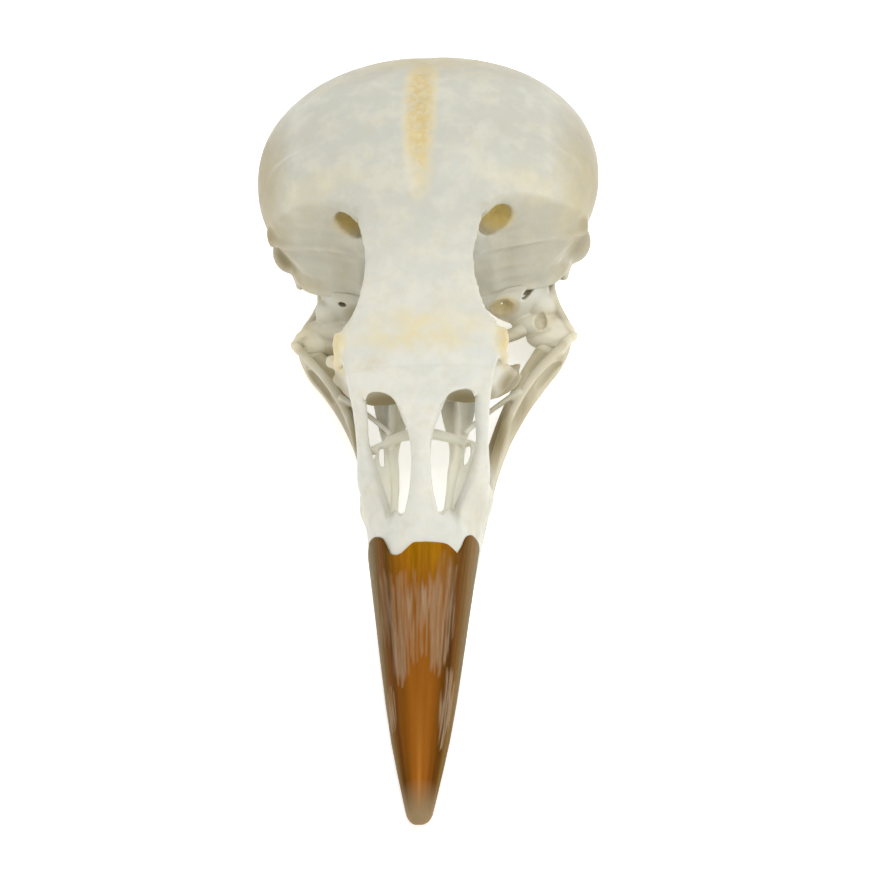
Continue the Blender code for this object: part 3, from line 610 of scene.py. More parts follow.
def mottle_group():
    """Cloudy patches: noise of a given size, sharpened between two levels."""
    made = bpy.data.node_groups.get("mottle")
    if made:
        return made
    made = bpy.data.node_groups.new("mottle", "ShaderNodeTree")
    made.interface.new_socket("Vector", in_out="INPUT", socket_type="NodeSocketVector")
    for name, value in (("Scale", 300.0), ("Detail", 4.0), ("From", 0.35), ("To", 0.65)):
        made.interface.new_socket(name, in_out="INPUT", socket_type="NodeSocketFloat").default_value = value
    made.interface.new_socket("Mask", in_out="OUTPUT", socket_type="NodeSocketFloat")
    start = made.nodes.new("NodeGroupInput").outputs
    cloud = add(made, "ShaderNodeTexNoise", {
        "Vector": start["Vector"], "Scale": start["Scale"], "Detail": start["Detail"], "Roughness": 0.6})
    level = spread(made, cloud.outputs["Fac"], start["From"], start["To"])
    made.links.new(level, made.nodes.new("NodeGroupOutput").inputs["Mask"])
    return made


def spread(tree, value, low, high, to_low=0.0, to_high=1.0):
    """A value stretched from one range to another, and held at its ends."""
    return add(tree, "ShaderNodeMapRange", {
        "Value": value, "From Min": low, "From Max": high, "To Min": to_low, "To Max": to_high,
    }).outputs["Result"]


# Sockets of a Mix node that mixes colours, by place: share, both colours, and the outcome
MIX_SHARE, MIX_UNDER, MIX_OVER = 0, 6, 7
MIX_RESULT = 2


class Paint:
    """A new material, whose colour is laid on coat by coat."""

    def __init__(self, name):
        self.look = bpy.data.materials.new(name)
        self.look.use_nodes = True
        self.tree = self.look.node_tree
        self.shader = self.tree.nodes["Principled BSDF"]
        self.place = add(self.tree, "ShaderNodeTexCoord").outputs["Object"]
        self.axes = add(self.tree, "ShaderNodeSeparateXYZ", {"Vector": self.place}).outputs
        self.colour = None

    def maths(self, kind, first, second=0.0, clamp=False):
        return add(self.tree, "ShaderNodeMath", {0: first, 1: second}, operation=kind,
                   use_clamp=clamp).outputs[0]

    def times(self, first, second, clamp=False):
        return self.maths("MULTIPLY", first, second, clamp)

    def spread(self, value, low, high, to_low=0.0, to_high=1.0):
        return spread(self.tree, value, low, high, to_low, to_high)

    def along(self, start, end, to_start=0.0, to_end=1.0):
        """A ramp between two places along f, in mm."""
        return self.spread(self.axes["Y"], (MIDDLE_F - start) * MM, (MIDDLE_F - end) * MM, to_start, to_end)

    def upward(self, start, end):
        """A ramp between two heights, in mm."""
        return self.spread(self.axes["Z"], start * MM, end * MM)

    def mask(self, name, kind="Fac"):
        return add(self.tree, "ShaderNodeAttribute", attribute_name=name).outputs[kind]

    def mottle(self, scale, low, high, detail=4.0, vector=None):
        """The cloudy patches placed in the material with its own values."""
        return add(self.tree, "ShaderNodeGroup", {
            "Vector": self.place if vector is None else vector, "Scale": scale, "Detail": detail,
            "From": low, "To": high,
        }, node_tree=mottle_group()).outputs["Mask"]

    def coat(self, share, colour):
        """One more colour over the ones before, by a share that changes over the surface."""
        made = add(self.tree, "ShaderNodeMix", {MIX_SHARE: share}, data_type="RGBA")
        if isinstance(self.colour, bpy.types.NodeSocket):
            self.tree.links.new(self.colour, made.inputs[MIX_UNDER])
        else:
            made.inputs[MIX_UNDER].default_value = (*self.colour, 1)
        made.inputs[MIX_OVER].default_value = (*colour, 1)
        self.colour = made.outputs[MIX_RESULT]

    def feed(self, sockets):
        """Links to the shader's sockets, by name."""
        for name, value in sockets.items():
            self.tree.links.new(value, self.shader.inputs[name])

    def bump(self, height, strength, distance):
        """Fine relief in the shading; the distance is in mm."""
        made = add(self.tree, "ShaderNodeBump", {
            "Height": height, "Strength": strength, "Distance": distance * MM})
        self.feed({"Normal": made.outputs["Normal"]})

    def body(self, specular, scatter, radius, depth):
        """Gloss, and light that wanders under the surface; the depth is in mm."""
        for name, value in (("Specular IOR Level", specular), ("Subsurface Weight", scatter),
                            ("Subsurface Radius", radius), ("Subsurface Scale", depth * MM)):
            self.shader.inputs[name].default_value = value


def bone_look():
    """Dry bone: thin and grey over the brain (partly painted shade), white on the face, stained on knobs and
    in some hollows, with painted shade in the hollows, at the sides, at the back and under the head, and
    painted light on shaded bone under the head.
    """
    made = bpy.data.materials.get("skull_bone")
    if made:
        return made
    tints = bpy.context.scene.skull_colours
    bone = Paint("skull_bone")
    # Grey on the dome, whiter on the face along f: partly the bone's own tone, partly painted shade over the
    # dome
    bone.colour = tuple(tints.dome)
    bone.coat(bone.along(15, 26), tuple(tints.face))
    bone.coat(bone.times(bone.mottle(260, 0.35, 0.7), 0.5), tuple(tints.haze))
    bone.coat(bone.times(bone.mottle(640, 0.45, 0.62), 0.3), tuple(tints.milk))
    bone.coat(bone.times(bone.mottle(1400, 0.45, 0.75), 0.3), tuple(tints.dust))
    patchy = bone.spread(bone.mottle(900, 0.36, 0.6), 0, 1, 0.3, 1.0)
    bone.coat(bone.times(bone.mask("cream"), patchy, clamp=True), tuple(tints.cream))
    speckle = bone.spread(bone.mottle(2300, 0.38, 0.6), 0, 1, 0.25, 1.0)
    crumb = bone.times(bone.mask("ochre"), speckle, clamp=True)
    bone.coat(bone.times(crumb, 0.5), tuple(tints.ochre))
    # Painted shade: bone far out at the sides (8.2 to 10.8 mm) is darkened where the light grazes, more on
    # the bird's right than on its left
    sideways = bone.maths("ABSOLUTE", bone.axes["X"])
    lopsided_side_shade = bone.spread(bone.axes["X"], -8 * MM, 8 * MM, 1, 0.75)
    bone.coat(bone.times(bone.spread(sideways, 8.2 * MM, 10.8 * MM, 0, 0.95), lopsided_side_shade), tuple(tints.olive))
    # Painted shade: darker olive towards the back of the head, where the light grazes the dome
    bone.coat(bone.along(6.5, 1.5, 0, 0.8), tuple(tints.olive))
    # Painted shade: low bone under the head, away from the middle, turns tan
    under_head = bone.times(bone.upward(6.0, 3.6), bone.along(33, 28))
    shade_under_head = bone.times(under_head, bone.spread(sideways, 3.0 * MM, 3.6 * MM))
    bone.coat(bone.times(shade_under_head, 0.85), tuple(tints.tan))
    # Painted shade in the hollows, from how shut in each point is; it is lessened on the palate and left off
    # the top of the face
    palate = bone.times(bone.upward(6.5, 5.5), bone.along(24, 27))
    open_face = bone.times(bone.upward(10.3, 10.8), bone.along(24.5, 25.5))
    sheltered = bone.times(bone.spread(palate, 0, 1, 1, 0.45), bone.spread(open_face, 0, 1, 1, 0))
    hollow = bone.times(bone.mask("recess"), sheltered)
    bone.coat(bone.spread(hollow, 0.16, 0.72, 0, 0.7), tuple(tints.olive))
    bone.coat(bone.spread(hollow, 0.75, 1.0, 0, 0.35), tuple(tints.deepest_hollow_shade))
    bone.coat(bone.times(crumb, 0.6), tuple(tints.ochre))
    # Painted light: the bone in shade under the head is made pale again
    bone.coat(bone.times(bone.mask("pale"), 0.95), tuple(tints.clean))
    # Painted shade from the table of shaded places and the orbits' rear walls, deepest where it is strongest
    bone.coat(bone.mask("shade"), tuple(tints.olive))
    bone.coat(bone.spread(bone.mask("shade"), 0.8, 1.4, 0, 0.7), tuple(tints.deep_olive))
    bone.coat(bone.mask("gold"), tuple(tints.gold))
    worn = bone.spread(bone.mottle(700, 0.3, 0.7), 0, 1, 0.36, 0.52)
    bone.feed({"Base Color": bone.colour, "Roughness": bone.maths("ADD", worn, bone.times(crumb, 0.2))})
    grain = add(bone.tree, "ShaderNodeTexNoise", {
        "Vector": bone.place, "Scale": 1800, "Detail": 5, "Roughness": 0.65}).outputs["Fac"]
    bone.bump(bone.times(grain, bone.spread(crumb, 0, 1, 0.25, 1.0)), 0.6, 0.15)
    bone.body(0.45, 0.2, (1.0, 0.75, 0.5), 0.6)
    return bone.look


def horn_look():
    """Dry horn: amber, with painted shade darker at the sides and a painted highlight along the ridge near
    the tip, olive-gold behind, with pale lifted flakes.
    """
    made = bpy.data.materials.get("skull_horn")
    if made:
        return made
    tints = bpy.context.scene.skull_colours
    horn = Paint("skull_horn")
    fibres = horn.mask("fibre", "Vector")
    sideways = horn.maths("ABSOLUTE", horn.mask("across"))
    streaks = horn.mottle(7000, 0.35, 0.68, 3.0, fibres)
    rear = horn.along(48, 43)
    horn.colour = tuple(tints.horn_gold)
    horn.coat(horn.along(38.5, 41), tuple(tints.horn_amber))
    horn.coat(horn.times(streaks, horn.spread(rear, 0, 1, 0.12, 0.4)), tuple(tints.horn_dark_and_side_shade))
    # Painted shade: the horn darkens towards its sides, away from the light from above
    horn.coat(horn.spread(sideways, 0.3, 0.75, 0, 0.85), tuple(tints.horn_dark_and_side_shade))
    horn.coat(horn.spread(sideways, 0.8, 0.97, 0, 0.8), tuple(tints.horn_rim))
    horn.coat(horn.times(horn.mottle(1500, 0.4, 0.6, vector=fibres), 0.2), tuple(tints.horn_cloud))
    # Painted highlight: a light streak along the middle of the ridge near the tip
    ridge = horn.times(horn.spread(sideways, 0.16, 0.02), horn.along(47, 53))
    horn.coat(horn.times(ridge, 0.45), tuple(tints.horn_ridge_highlight))
    horn.coat(horn.along(52.8, 55.0), tuple(tints.horn_tip))
    lifted = horn.times(horn.mask("flake"), horn.spread(streaks, 0, 1, 0.35, 1.0), clamp=True)
    horn.coat(lifted, tuple(tints.horn_flake))
    horn.feed({"Base Color": horn.colour, "Roughness": horn.spread(lifted, 0, 1, 0.36, 0.7)})
    fibrous = horn.times(streaks, horn.spread(rear, 0, 1, 0.15, 0.6))
    horn.bump(horn.maths("ADD", fibrous, lifted), 0.5, 0.06)
    horn.body(0.02, 0.12, (1.0, 0.45, 0.12), 1.2)
    return horn.look


def orbit_space(side):
    """The space of an orbit: open above and beside the roof, and reaching under it to the septum."""
    edge = [(*place, True) for place in between(ROOF_EDGE, 3)]
    rest = [(*place, False) for place in between(OPEN_SIDE, 3) + between(REAR_RIM, 3)]
    rows = []
    for level in range(4):
        row = []
        for x, f, roofed in edge + rest:
            roof = along(ROOF_TOP, f)
            height = (ORBIT_TOP, roof - ROOF_THICKNESS, roof - ROOF_UNDERSIDE, ORBIT_FLOOR)[level]
            if roofed and level > 1:
                x, f = SEPTUM_HALF, f + SEPTUM_FORWARD
            elif not roofed and level > 1 and f < WALL_END:
                f += WALL_SLOPE * (WALL_SLOPE_TOP - min(height, WALL_SLOPE_TOP))
            row.append(spot(side * x, f, height))
        rows.append(row)
    return loft("orbit", rows)


def head_solids(sizes):
    """Dome, roof between the orbits, septum, rostrum and base, along the middle of the head."""
    half_length = sizes.cranium_length / 2
    centre = (0, half_length, sizes.dome_level)
    semis = (sizes.cranium_width / 2, half_length, sizes.cranium_top - sizes.dome_level)
    hinge = sizes.hinge_f
    return [
        lump("cranium", centre, semis, power=2.12, across=120, rows=80),
        upright("frontal", (
            (11.0, 10.5, 4.1, 17.1), (13.0, 9.6, 4.6, 16.6), (14.5, 8.4, 5.6, 15.95), (16.0, 7.0, 7.8, 15.4),
            (17.5, 5.9, 9.9, 14.95), (19.1, 5.2, 11.3, 14.45), (21.6, 5.3, 11.2, 13.5),
            (23.4, 5.5, 10.8, 12.75), (24.6, 5.4, 10.5, 12.17), (25.4, 5.1, 10.5, 11.87),
            (hinge, 4.85, 10.6, 11.56), (hinge + 0.6, 4.7, 10.65, 11.28), (hinge + 1.0, 4.4, 10.65, 10.95)),
            power=2.7, across=80),
        bar("septum", (
            (0, 12.0, 8.9, 0.6, 4.3), (0, 15.0, 8.9, 0.45, 4.3), (0, 19.0, 9.1, 0.35, 4.0),
            (0, 22.5, 9.0, 0.35, 3.4), (0, 25.2, 8.8, 0.5, 2.7)), power=4),
        bar("rostrum", (
            (0, 10.0, 4.9, 1.6, 1.2), (0, 14.5, 4.9, 1.1, 0.9), (0, 19.0, 5.1, 0.75, 0.7),
            (0, 24.2, 5.6, 0.5, 0.55))),
        lump("base", (0, 9.2, 5.4), (6.4, 6.0, 2.2)),
        lump("condyle", (0, 2.9, 4.3), (0.9, 0.9, 0.8)),
        bar("nape_crest", [(x, f, z, 0.3, 0.25) for x, f, z in (
            (-7.5, 3.6, 8.5), (-4.5, 1.35, 10.6), (0, 0.45, 11.6), (4.5, 1.35, 10.6), (7.5, 3.6, 8.5))]),
    ]


# Wing of the plate before the orbit, and the bar above it: slender on the left, a rough knob on the right
PLATE_WING = ((4.5, 24.7, 7.6, 0.24, 1.7), (4.9, 24.1, 6.9, 0.2, 1.4), (5.4, 23.3, 6.3, 0.2, 1.0),
              (5.7, 22.8, 6.0, 0.2, 0.6))
BROW_LEFT = ((4.7, 24.7, 9.3, 0.26, 0.24), (5.3, 23.9, 8.3, 0.22, 0.2), (5.9, 22.9, 7.4, 0.2, 0.2))
BROW_RIGHT = ((4.7, 24.5, 9.9, 0.4, 0.5), (5.3, 24.0, 9.4, 0.45, 0.55), (5.9, 23.4, 8.9, 0.4, 0.42))


def side_solids(side):
    """What grows from one side of the head: processes, ear, foot of the wall and plate of the face."""
    return [
        bar("postorbital", ((9.2, 11.4, 10.4, 0.9, 0.9), (9.8, 12.3, 10.1, 0.6, 0.65),
                            (10.15, 13.0, 9.7, 0.28, 0.3)), side),
        lump("temporal", (side * 9.05, 11.2, 6.9), (1.35, 1.6, 1.3)),
        bar("zygomatic", ((8.4, 11.2, 7.2, 1.0, 1.2), (8.6, 12.4, 6.4, 0.6, 0.7),
                          (8.6, 13.2, 5.7, 0.32, 0.35)), side),
        lump("ear_wing", (side * 7.4, 7.0, 5.9), (2.4, 3.0, 2.6)),
        lump("wall_foot", (side * 4.6, 12.4, 6.0), (4.2, 1.7, 2.3)),
        bar("wall_ridge", ((3.4, 16.0, 11.0, 0.3, 0.25), (6.7, 14.85, 10.8, 0.4, 0.28),
                           (9.0, 13.8, 10.2, 0.4, 0.3), (10.1, 12.9, 9.4, 0.3, 0.28)), side),
        bar("wall_band", ((5.3, 15.2, 6.9, 0.3, 0.35), (6.7, 14.85, 6.9, 0.45, 0.5),
                          (7.8, 14.2, 6.9, 0.6, 0.7), (8.5, 13.1, 6.9, 0.6, 0.8)), side),
        bar("face_plate", ((0.9, 24.9, 9.0, 0.32, 2.4), (2.8, 25.1, 8.9, 0.34, 2.4),
                           (4.1, 25.0, 9.0, 0.36, 2.2), (4.7, 24.7, 9.5, 0.34, 1.6)), side, power=2.6),
        bar("plate_wing", PLATE_WING if side > 0 else PLATE_WING[:2], side, power=2.6, up=(0, -0.5, 1)),
        bar("plate_brow", BROW_LEFT if side > 0 else BROW_RIGHT, side),
        lump("corner_knob", (side * 5.1, 24.4, 11.2), (0.45, 1.1, 0.7)),
        lump("corner_bead", (side * 5.2, 24.0, 11.5), (0.35, 0.5, 0.4)),
        lump("corner_bead", (side * 5.2, 25.1, 10.6), (0.35, 0.55, 0.6)),
    ]


def side_hollows(side):
    """What is cut from one side of the head."""
    return [
        lump("fonticulus", (side * 4.6, 15.3, 13.15), (1.3, 1.1, 1.0) if side > 0 else (1.1, 1.1, 0.8),
             turn=(0, side * -35, 0)),
        lump("ear_hollow", (side * 9.6, 10.2, 5.6), (1.7, 1.5, 1.5)),
        lump("temple_notch", (side * 11.6, 12.6, 9.3), (1.4, 1.0, 0.9)),
        lump("wall_pit", (side * 5.0, 14.2, 6.0), (0.9, 0.9, 0.6)),
        lump("nerve_hole", (side * 2.2, 14.0, 7.2), (0.6, 0.9, 0.5)),
    ]


class SKULL_OT_cranium(bpy.types.Operator):
    """Braincase and forehead with the orbits' walls and the plates before them"""
    bl_idname = "skull.cranium"
    bl_label = "Cranium"

    def execute(self, context):
        sizes = context.scene.skull_sizes
        solids = head_solids(sizes)
        cavities = [orbit_space(side) for _, side in BOTH_SIDES]
        solids = [fuse("braincase", solids, HEAD_GRAIN, cavities)]
        hollows = [lump("septum_window", (0, 18.6, 9.3), (3, 2.5, 1.7)),
                   lump("great_hole", (0, 2.2, 6.2), (2.1, 3.6, 1.75))]
        for _, side in BOTH_SIDES:
            solids += side_solids(side)
            hollows += side_hollows(side)
        cranium = fuse("cranium", solids, HEAD_GRAIN, hollows)
        set_bone(cranium, sizes, "braincase", "ectethmoid_left", "ectethmoid_right")
        return {"FINISHED"}


# How far forward from its rear edge a nostril is undercut
UNDERCUT_REACH = 1.4
# Share of the bill's height that its nearly flat lower side takes
FLATTENED = 0.12


def bill_section(f, inset, across=48):
    """One arched section of the bone of the bill, round above and nearly flat below."""
    half, low, height = bill_outline(f)
    half, low, height = half - inset, low + inset, height - 2 * inset
    c, s = power_curve(across, BILL_SQUARENESS)
    return [spot(x * half, f, low + (z * height if z > 0 else FLATTENED * height * (1 + z)))
            for x, z in zip(c, s)]


def face_solids(shift):
    """Nasal plate, ridge bar, side bars, roof of the mouth and the front of the bill."""
    solids = [
        upright("nasal_plate", (
            (25.4, 4.95, 10.7, 11.82), (26.2, 4.78, 10.65, 11.54), (27.0, 4.58, 10.5, 11.245),
            (27.7, 4.25, 10.35, 10.99), (28.3, 3.6, 10.25, 10.8), (28.9, 2.9, 10.1, 10.6),
            (29.5, 2.1, 9.95, 10.37), (30.3, 0.9, 9.7, 10.08)), power=2.7),
        upright("ridge_bar", (
            (27.5, 2.4, 10.2, 10.85), (29.0, 1.6, 9.6, 10.55), (30.3, 0.95, 9.0, 10.15),
            (31.8, 0.72, 8.2, 9.63), (33.4, 0.78, 7.4, 9.05), (34.8, 1.0, 6.6, 8.5), (36.0, 1.5, 5.8, 8.05),
            (37.2, 2.0, 5.2, 7.6), (38.6, 2.1, 4.8, 7.0)), power=2.2, across=40),
        loft("bill_front", [bill_section(f, inset) for f, inset in (
            (34.0, 1.5), (34.6, 1.05), (35.2, 0.7), (35.8, 0.42), (36.4, 0.25), (37.1, 0.16), (38.0, 0.14),
            (39.4, 0.14))]),
        bar("palate", ((0, 32.2, 3.7, 2.6, 0.3), (0, 33.8, 3.75, 3.0, 0.38), (0, 37.0, 3.7, 2.7, 0.45)),
            power=2.6, across=32),
        bar("vomer", ((-2.0, 26.3, 4.5, 0.3, 0.3), (-0.9, 26.1, 4.75, 0.42, 0.3),
                      (0, 26.15, 4.75, 0.4, 0.32), (0.9, 26.1, 4.75, 0.42, 0.3),
                      (2.0, 26.3, 4.5, 0.3, 0.3)), shift=shift * 1.6),
        bar("arm", ((-1.9, 26.1, 4.5, 0.3, 0.28), (-2.6, 26.5, 4.5, 0.26, 0.24),
                    (-3.7, 27.1, 4.4, 0.3, 0.28))),
        bar("arm", ((1.3, 26.1, 4.5, 0.28, 0.26), (2.1, 26.55, 4.45, 0.3, 0.26),
                    (2.6, 26.9, 4.5, 0.36, 0.34), (3.3, 27.2, 4.5, 0.26, 0.3))),
        bar("vomer_blade", ((-0.45, 22.8, 4.3, 0.25, 0.3), (-0.35, 24.6, 4.5, 0.42, 0.3),
                            (-0.4, 26.2, 4.75, 0.5, 0.3))),
    ]
    for _, side in BOTH_SIDES:
        solids += [
            bar("side_bar", ((4.1, 26.2, 10.95, 0.6, 0.4), (4.05, 27.0, 10.65, 0.55, 0.42),
                             (3.95, 27.8, 10.2, 0.5, 0.46), (3.82, 28.6, 9.35, 0.46, 0.5),
                             (3.74, 29.8, 7.75, 0.42, 0.55), (3.5, 31.2, 6.5, 0.7, 0.75),
                             (3.15, 33.0, 5.8, 0.95, 1.0), (2.7, 35.0, 5.5, 1.0, 1.3),
                             (2.2, 37.4, 5.0, 0.9, 1.4), (1.9, 39.0, 4.6, 0.7, 1.1)), side, across=32),
            lump("cheek", (side * 3.45, 32.6, 5.0), (0.65, 1.7, 1.1)),
            bar("jaw_edge", ((3.95, 28.6, 3.8, 0.3, 0.32), (3.85, 30.6, 3.75, 0.4, 0.4),
                             (3.5, 32.6, 3.9, 0.6, 0.6), (3.0, 35.0, 4.0, 0.75, 0.8),
                             (2.4, 37.6, 4.0, 0.75, 0.8)), side),
            bar("edge_strut", ((3.9, 30.9, 4.1, 0.34, 0.5), (3.8, 31.2, 5.0, 0.3, 0.6),
                               (3.7, 31.4, 6.0, 0.34, 0.6)), side, up=(0, 1, 0)),
            bar("palatine", ((1.7, 19.0, 4.2, 0.45, 0.3), (2.1, 21.3, 4.0, 1.3, 0.26),
                             (2.1, 23.6, 3.9, 1.1, 0.26), (2.1, 26.4, 3.7, 0.52, 0.32),
                             (2.05, 29.0, 3.7, 0.55, 0.38), (2.0, 33.0, 3.9, 0.6, 0.45)),
                side, power=2.4, shift=shift),
            bar("palatine_ridge", ((1.9, 20.6, 4.3, 0.16, 0.25), (2.05, 23.0, 4.5, 0.2, 0.4),
                                   (2.1, 25.4, 4.2, 0.26, 0.3), (2.05, 28.0, 3.9, 0.2, 0.2)),
                side, shift=shift),
            bar("cheek_web", ((2.8, 27.3, 4.3, 0.35, 0.25), (2.85, 28.6, 4.4, 0.65, 0.32),
                              (2.95, 30.6, 4.9, 0.95, 0.5), (2.9, 33.0, 5.2, 1.0, 0.8)),
                side, power=2.4, shift=shift * 0.5),
        ]
    return solids


def nostril_space(side):
    """The space of a nostril, which reaches back under its own rear edge."""
    rear = NOSTRIL[0][1]
    rows = []
    for height, back in ((13.0, 0), (10.8, 0), (10.25, 1.0), (5.2, 1.0)):
        rows.append([spot(side * x, f - back * max(0, 1 - (f - rear) / UNDERCUT_REACH), height)
                     for x, f in between(NOSTRIL, 3)])
    return loft("nostril", rows)


def tuck_under_horn(face):
    """The bone of the bill keeps inside the bill's outline, and well inside it where the horn covers it."""
    places = skull_places(face)
    f = places[:, 1]
    half, low, height = bill_outline(f)
    side = places[:, 0] / half
    rise = np.maximum(0, places[:, 2] - low) / height
    reach = (np.abs(side) ** BILL_SQUARENESS + rise ** BILL_SQUARENESS) ** (1 / BILL_SQUARENESS)
    turned = side / np.maximum(1e-6, np.hypot(side, rise))
    edge = np.interp(turned, *zip(*HORN_EDGE))
    covered = smooth_step(f, edge - EDGE_SLOPE, edge + EDGE_SLOPE)
    free = 1 - smooth_step(f, HELD_FROM, HELD_FULLY)
    most = BARE_REACH - HORN_DEPTH * covered + FREE_REACH * free
    held = (f > HELD_FROM) & (reach > most - SOFT)
    kept = most - SOFT * np.exp(-np.maximum(0, reach - most + SOFT) / SOFT)
    scale = np.where(held, kept / np.maximum(reach, 1e-6), 1)
    places[:, 0] *= scale
    places[:, 2] = np.where(held & (places[:, 2] > low), low + (places[:, 2] - low) * scale, places[:, 2])
    move_points(face, np.column_stack((places[:, 0], MIDDLE_F - places[:, 1], places[:, 2])) * MM)


def lean_bill(piece):
    """The bill leans and swings a little, as the real one does."""
    places = skull_places(piece)
    share = smooth_step(places[:, 1], LEAN_FROM, LEAN_FULLY)
    away = BILL_LEAN * (places[:, 2] - BILL_LEAN_LEVEL) + BILL_SWING * (places[:, 1] - BILL_SWING_F)
    shifted = points_of(piece)
    shifted[:, 0] += share * away * MM
    move_points(piece, shifted)


class SKULL_OT_face(bpy.types.Operator):
    """Bone of the upper bill with the nostrils, the palate's bars and the arch that crosses them"""
    bl_idname = "skull.face"
    bl_label = "Face"

    def execute(self, context):
        sizes = context.scene.skull_sizes
        nostrils = [nostril_space(side) for _, side in BOTH_SIDES]
        slots = [bar("slot", ((x, 27.0, 4.6, 0.16, 1.0), (x - 0.05, 27.8, 4.5, 0.2, 1.0),
                              (x - 0.15, 28.7, 4.6, 0.12, 1.0)), side)
                 for x, side in ((2.55, 1), (2.95, -1))]
        face = fuse("face", face_solids(sizes.palate_shift), FACE_GRAIN, nostrils + slots)
        tuck_under_horn(face)
        lean_bill(face)
        set_bone(face, sizes, "upper_beak", "palatine_left", "palatine_right", "vomer")
        return {"FINISHED"}


def quadrate(name, side):
    """The bone between braincase and jaw, with its plate into the orbit and its hollows."""
    out = 7.1 if side > 0 else 6.6
    solids = [
        lump(name, (side * out, 14.6, 4.6), (1.05, 1.1, 1.3)),
        bar("joint", ((6.0, 15.4, 3.6, 0.5, 0.6), (7.4, 15.4, 3.7, 0.75, 0.75), (8.6, 15.8, 3.4, 0.42, 0.5),
                      (9.0, 16.1, 3.15, 0.3, 0.34)), side),
        lump("mass", (side * (out - 0.5), 15.7, 3.9), (1.5, 0.9, 0.75)),
        lump("heel", (side * (out + 0.4), 16.2, 3.15), (1.5, 0.85, 0.75)),
        bar("ear_process", ((out + 0.2, 14.3, 4.8, 0.7, 0.8), (out + 0.5, 12.9, 6.0, 0.5, 0.55),
                            (out + 0.8, 11.4, 7.0, 0.6, 0.6)), side),
        bar("orbit_plate", ((out + 0.1, 14.7, 5.0, 0.28, 1.6), (6.0, 15.3, 5.4, 0.24, 1.75),
                            (4.9, 15.6, 5.9, 0.22, 1.45), (3.2, 16.0, 6.9, 0.18, 0.4)), side, power=2.6),
    ]
    if side > 0:
        solids.append(bar("side_strut", (
            (7.7, 14.0, 5.6, 0.3, 0.3), (8.1, 14.9, 4.7, 0.26, 0.28), (8.9, 16.0, 3.5, 0.3, 0.32))))
        hollows = [
            lump("hollow", (7.05, 16.1, 4.6), (0.42, 0.6, 0.62)),
            lump("slot", (6.35, 14.9, 6.5), (0.26, 1.2, 0.8), turn=(0, 36, 0)),
            lump("socket", (4.75, 16.6, 5.75), (1.0, 1.1, 0.95)),
            lump("pit", (5.5, 16.3, 4.9), (0.16, 0.6, 0.16)),
            lump("pit", (5.5, 16.4, 4.5), (0.14, 0.6, 0.14)),
        ]
    else:
        hollows = [lump("nerve_hole", (-5.7, 15.2, 6.2), (0.28, 0.9, 0.25))]
    return fuse(name, solids, SMALL_GRAIN, hollows)


class SKULL_OT_quadrates(bpy.types.Operator):
    """The pair of bones between the braincase and the jaw joints"""
    bl_idname = "skull.quadrates"
    bl_label = "Quadrates"

    def execute(self, context):
        sizes = context.scene.skull_sizes
        for word, side in BOTH_SIDES:
            set_bone(quadrate(f"joint_bone_{word}", side), sizes, f"quadrate_{word}")
        return {"FINISHED"}


class SKULL_OT_struts(bpy.types.Operator):
    """The thin struts behind the palate and the cheek bars"""
    bl_idname = "skull.struts"
    bl_label = "Struts and cheek bars"

    def execute(self, context):
        sizes = context.scene.skull_sizes
        for word, side in BOTH_SIDES:
            strut = fuse(f"strut_{word}", [bar("strut", (
                (6.4, 15.6, 3.9, 0.5, 0.5), (5.3, 16.6, 4.0, 0.5, 0.4), (3.2, 17.8, 4.2, 0.36, 0.36),
                (1.6, 19.4, 4.3, 0.4, 0.4)), side)], STRUT_GRAIN)
            cheek = fuse(f"cheek_bar_{word}", [
                bar("rod", ((9.05, 16.2, 3.2, 0.3, 0.36), (8.2, 17.8, 3.7, 0.28, 0.34),
                            (6.9, 19.9, 3.95, 0.28, 0.32), (5.85, 22.0, 4.0, 0.28, 0.32),
                            (5.0, 24.2, 3.9, 0.28, 0.32), (4.4, 26.6, 3.8, 0.28, 0.32),
                            (4.0, 29.0, 3.8, 0.3, 0.34), (3.85, 31.2, 3.75, 0.34, 0.36)), side),
                bar("branch", ((5.7, 22.2, 4.4, 0.2, 0.22), (3.9, 23.9, 4.4, 0.16, 0.18),
                               (2.4, 25.6, 4.4, 0.18, 0.2)), side)], SMALL_GRAIN)
            set_bone(strut, sizes, f"pterygoid_{word}", waviness=0.6)
            set_bone(cheek, sizes, f"jugal_{word}", waviness=0.6)
        return {"FINISHED"}


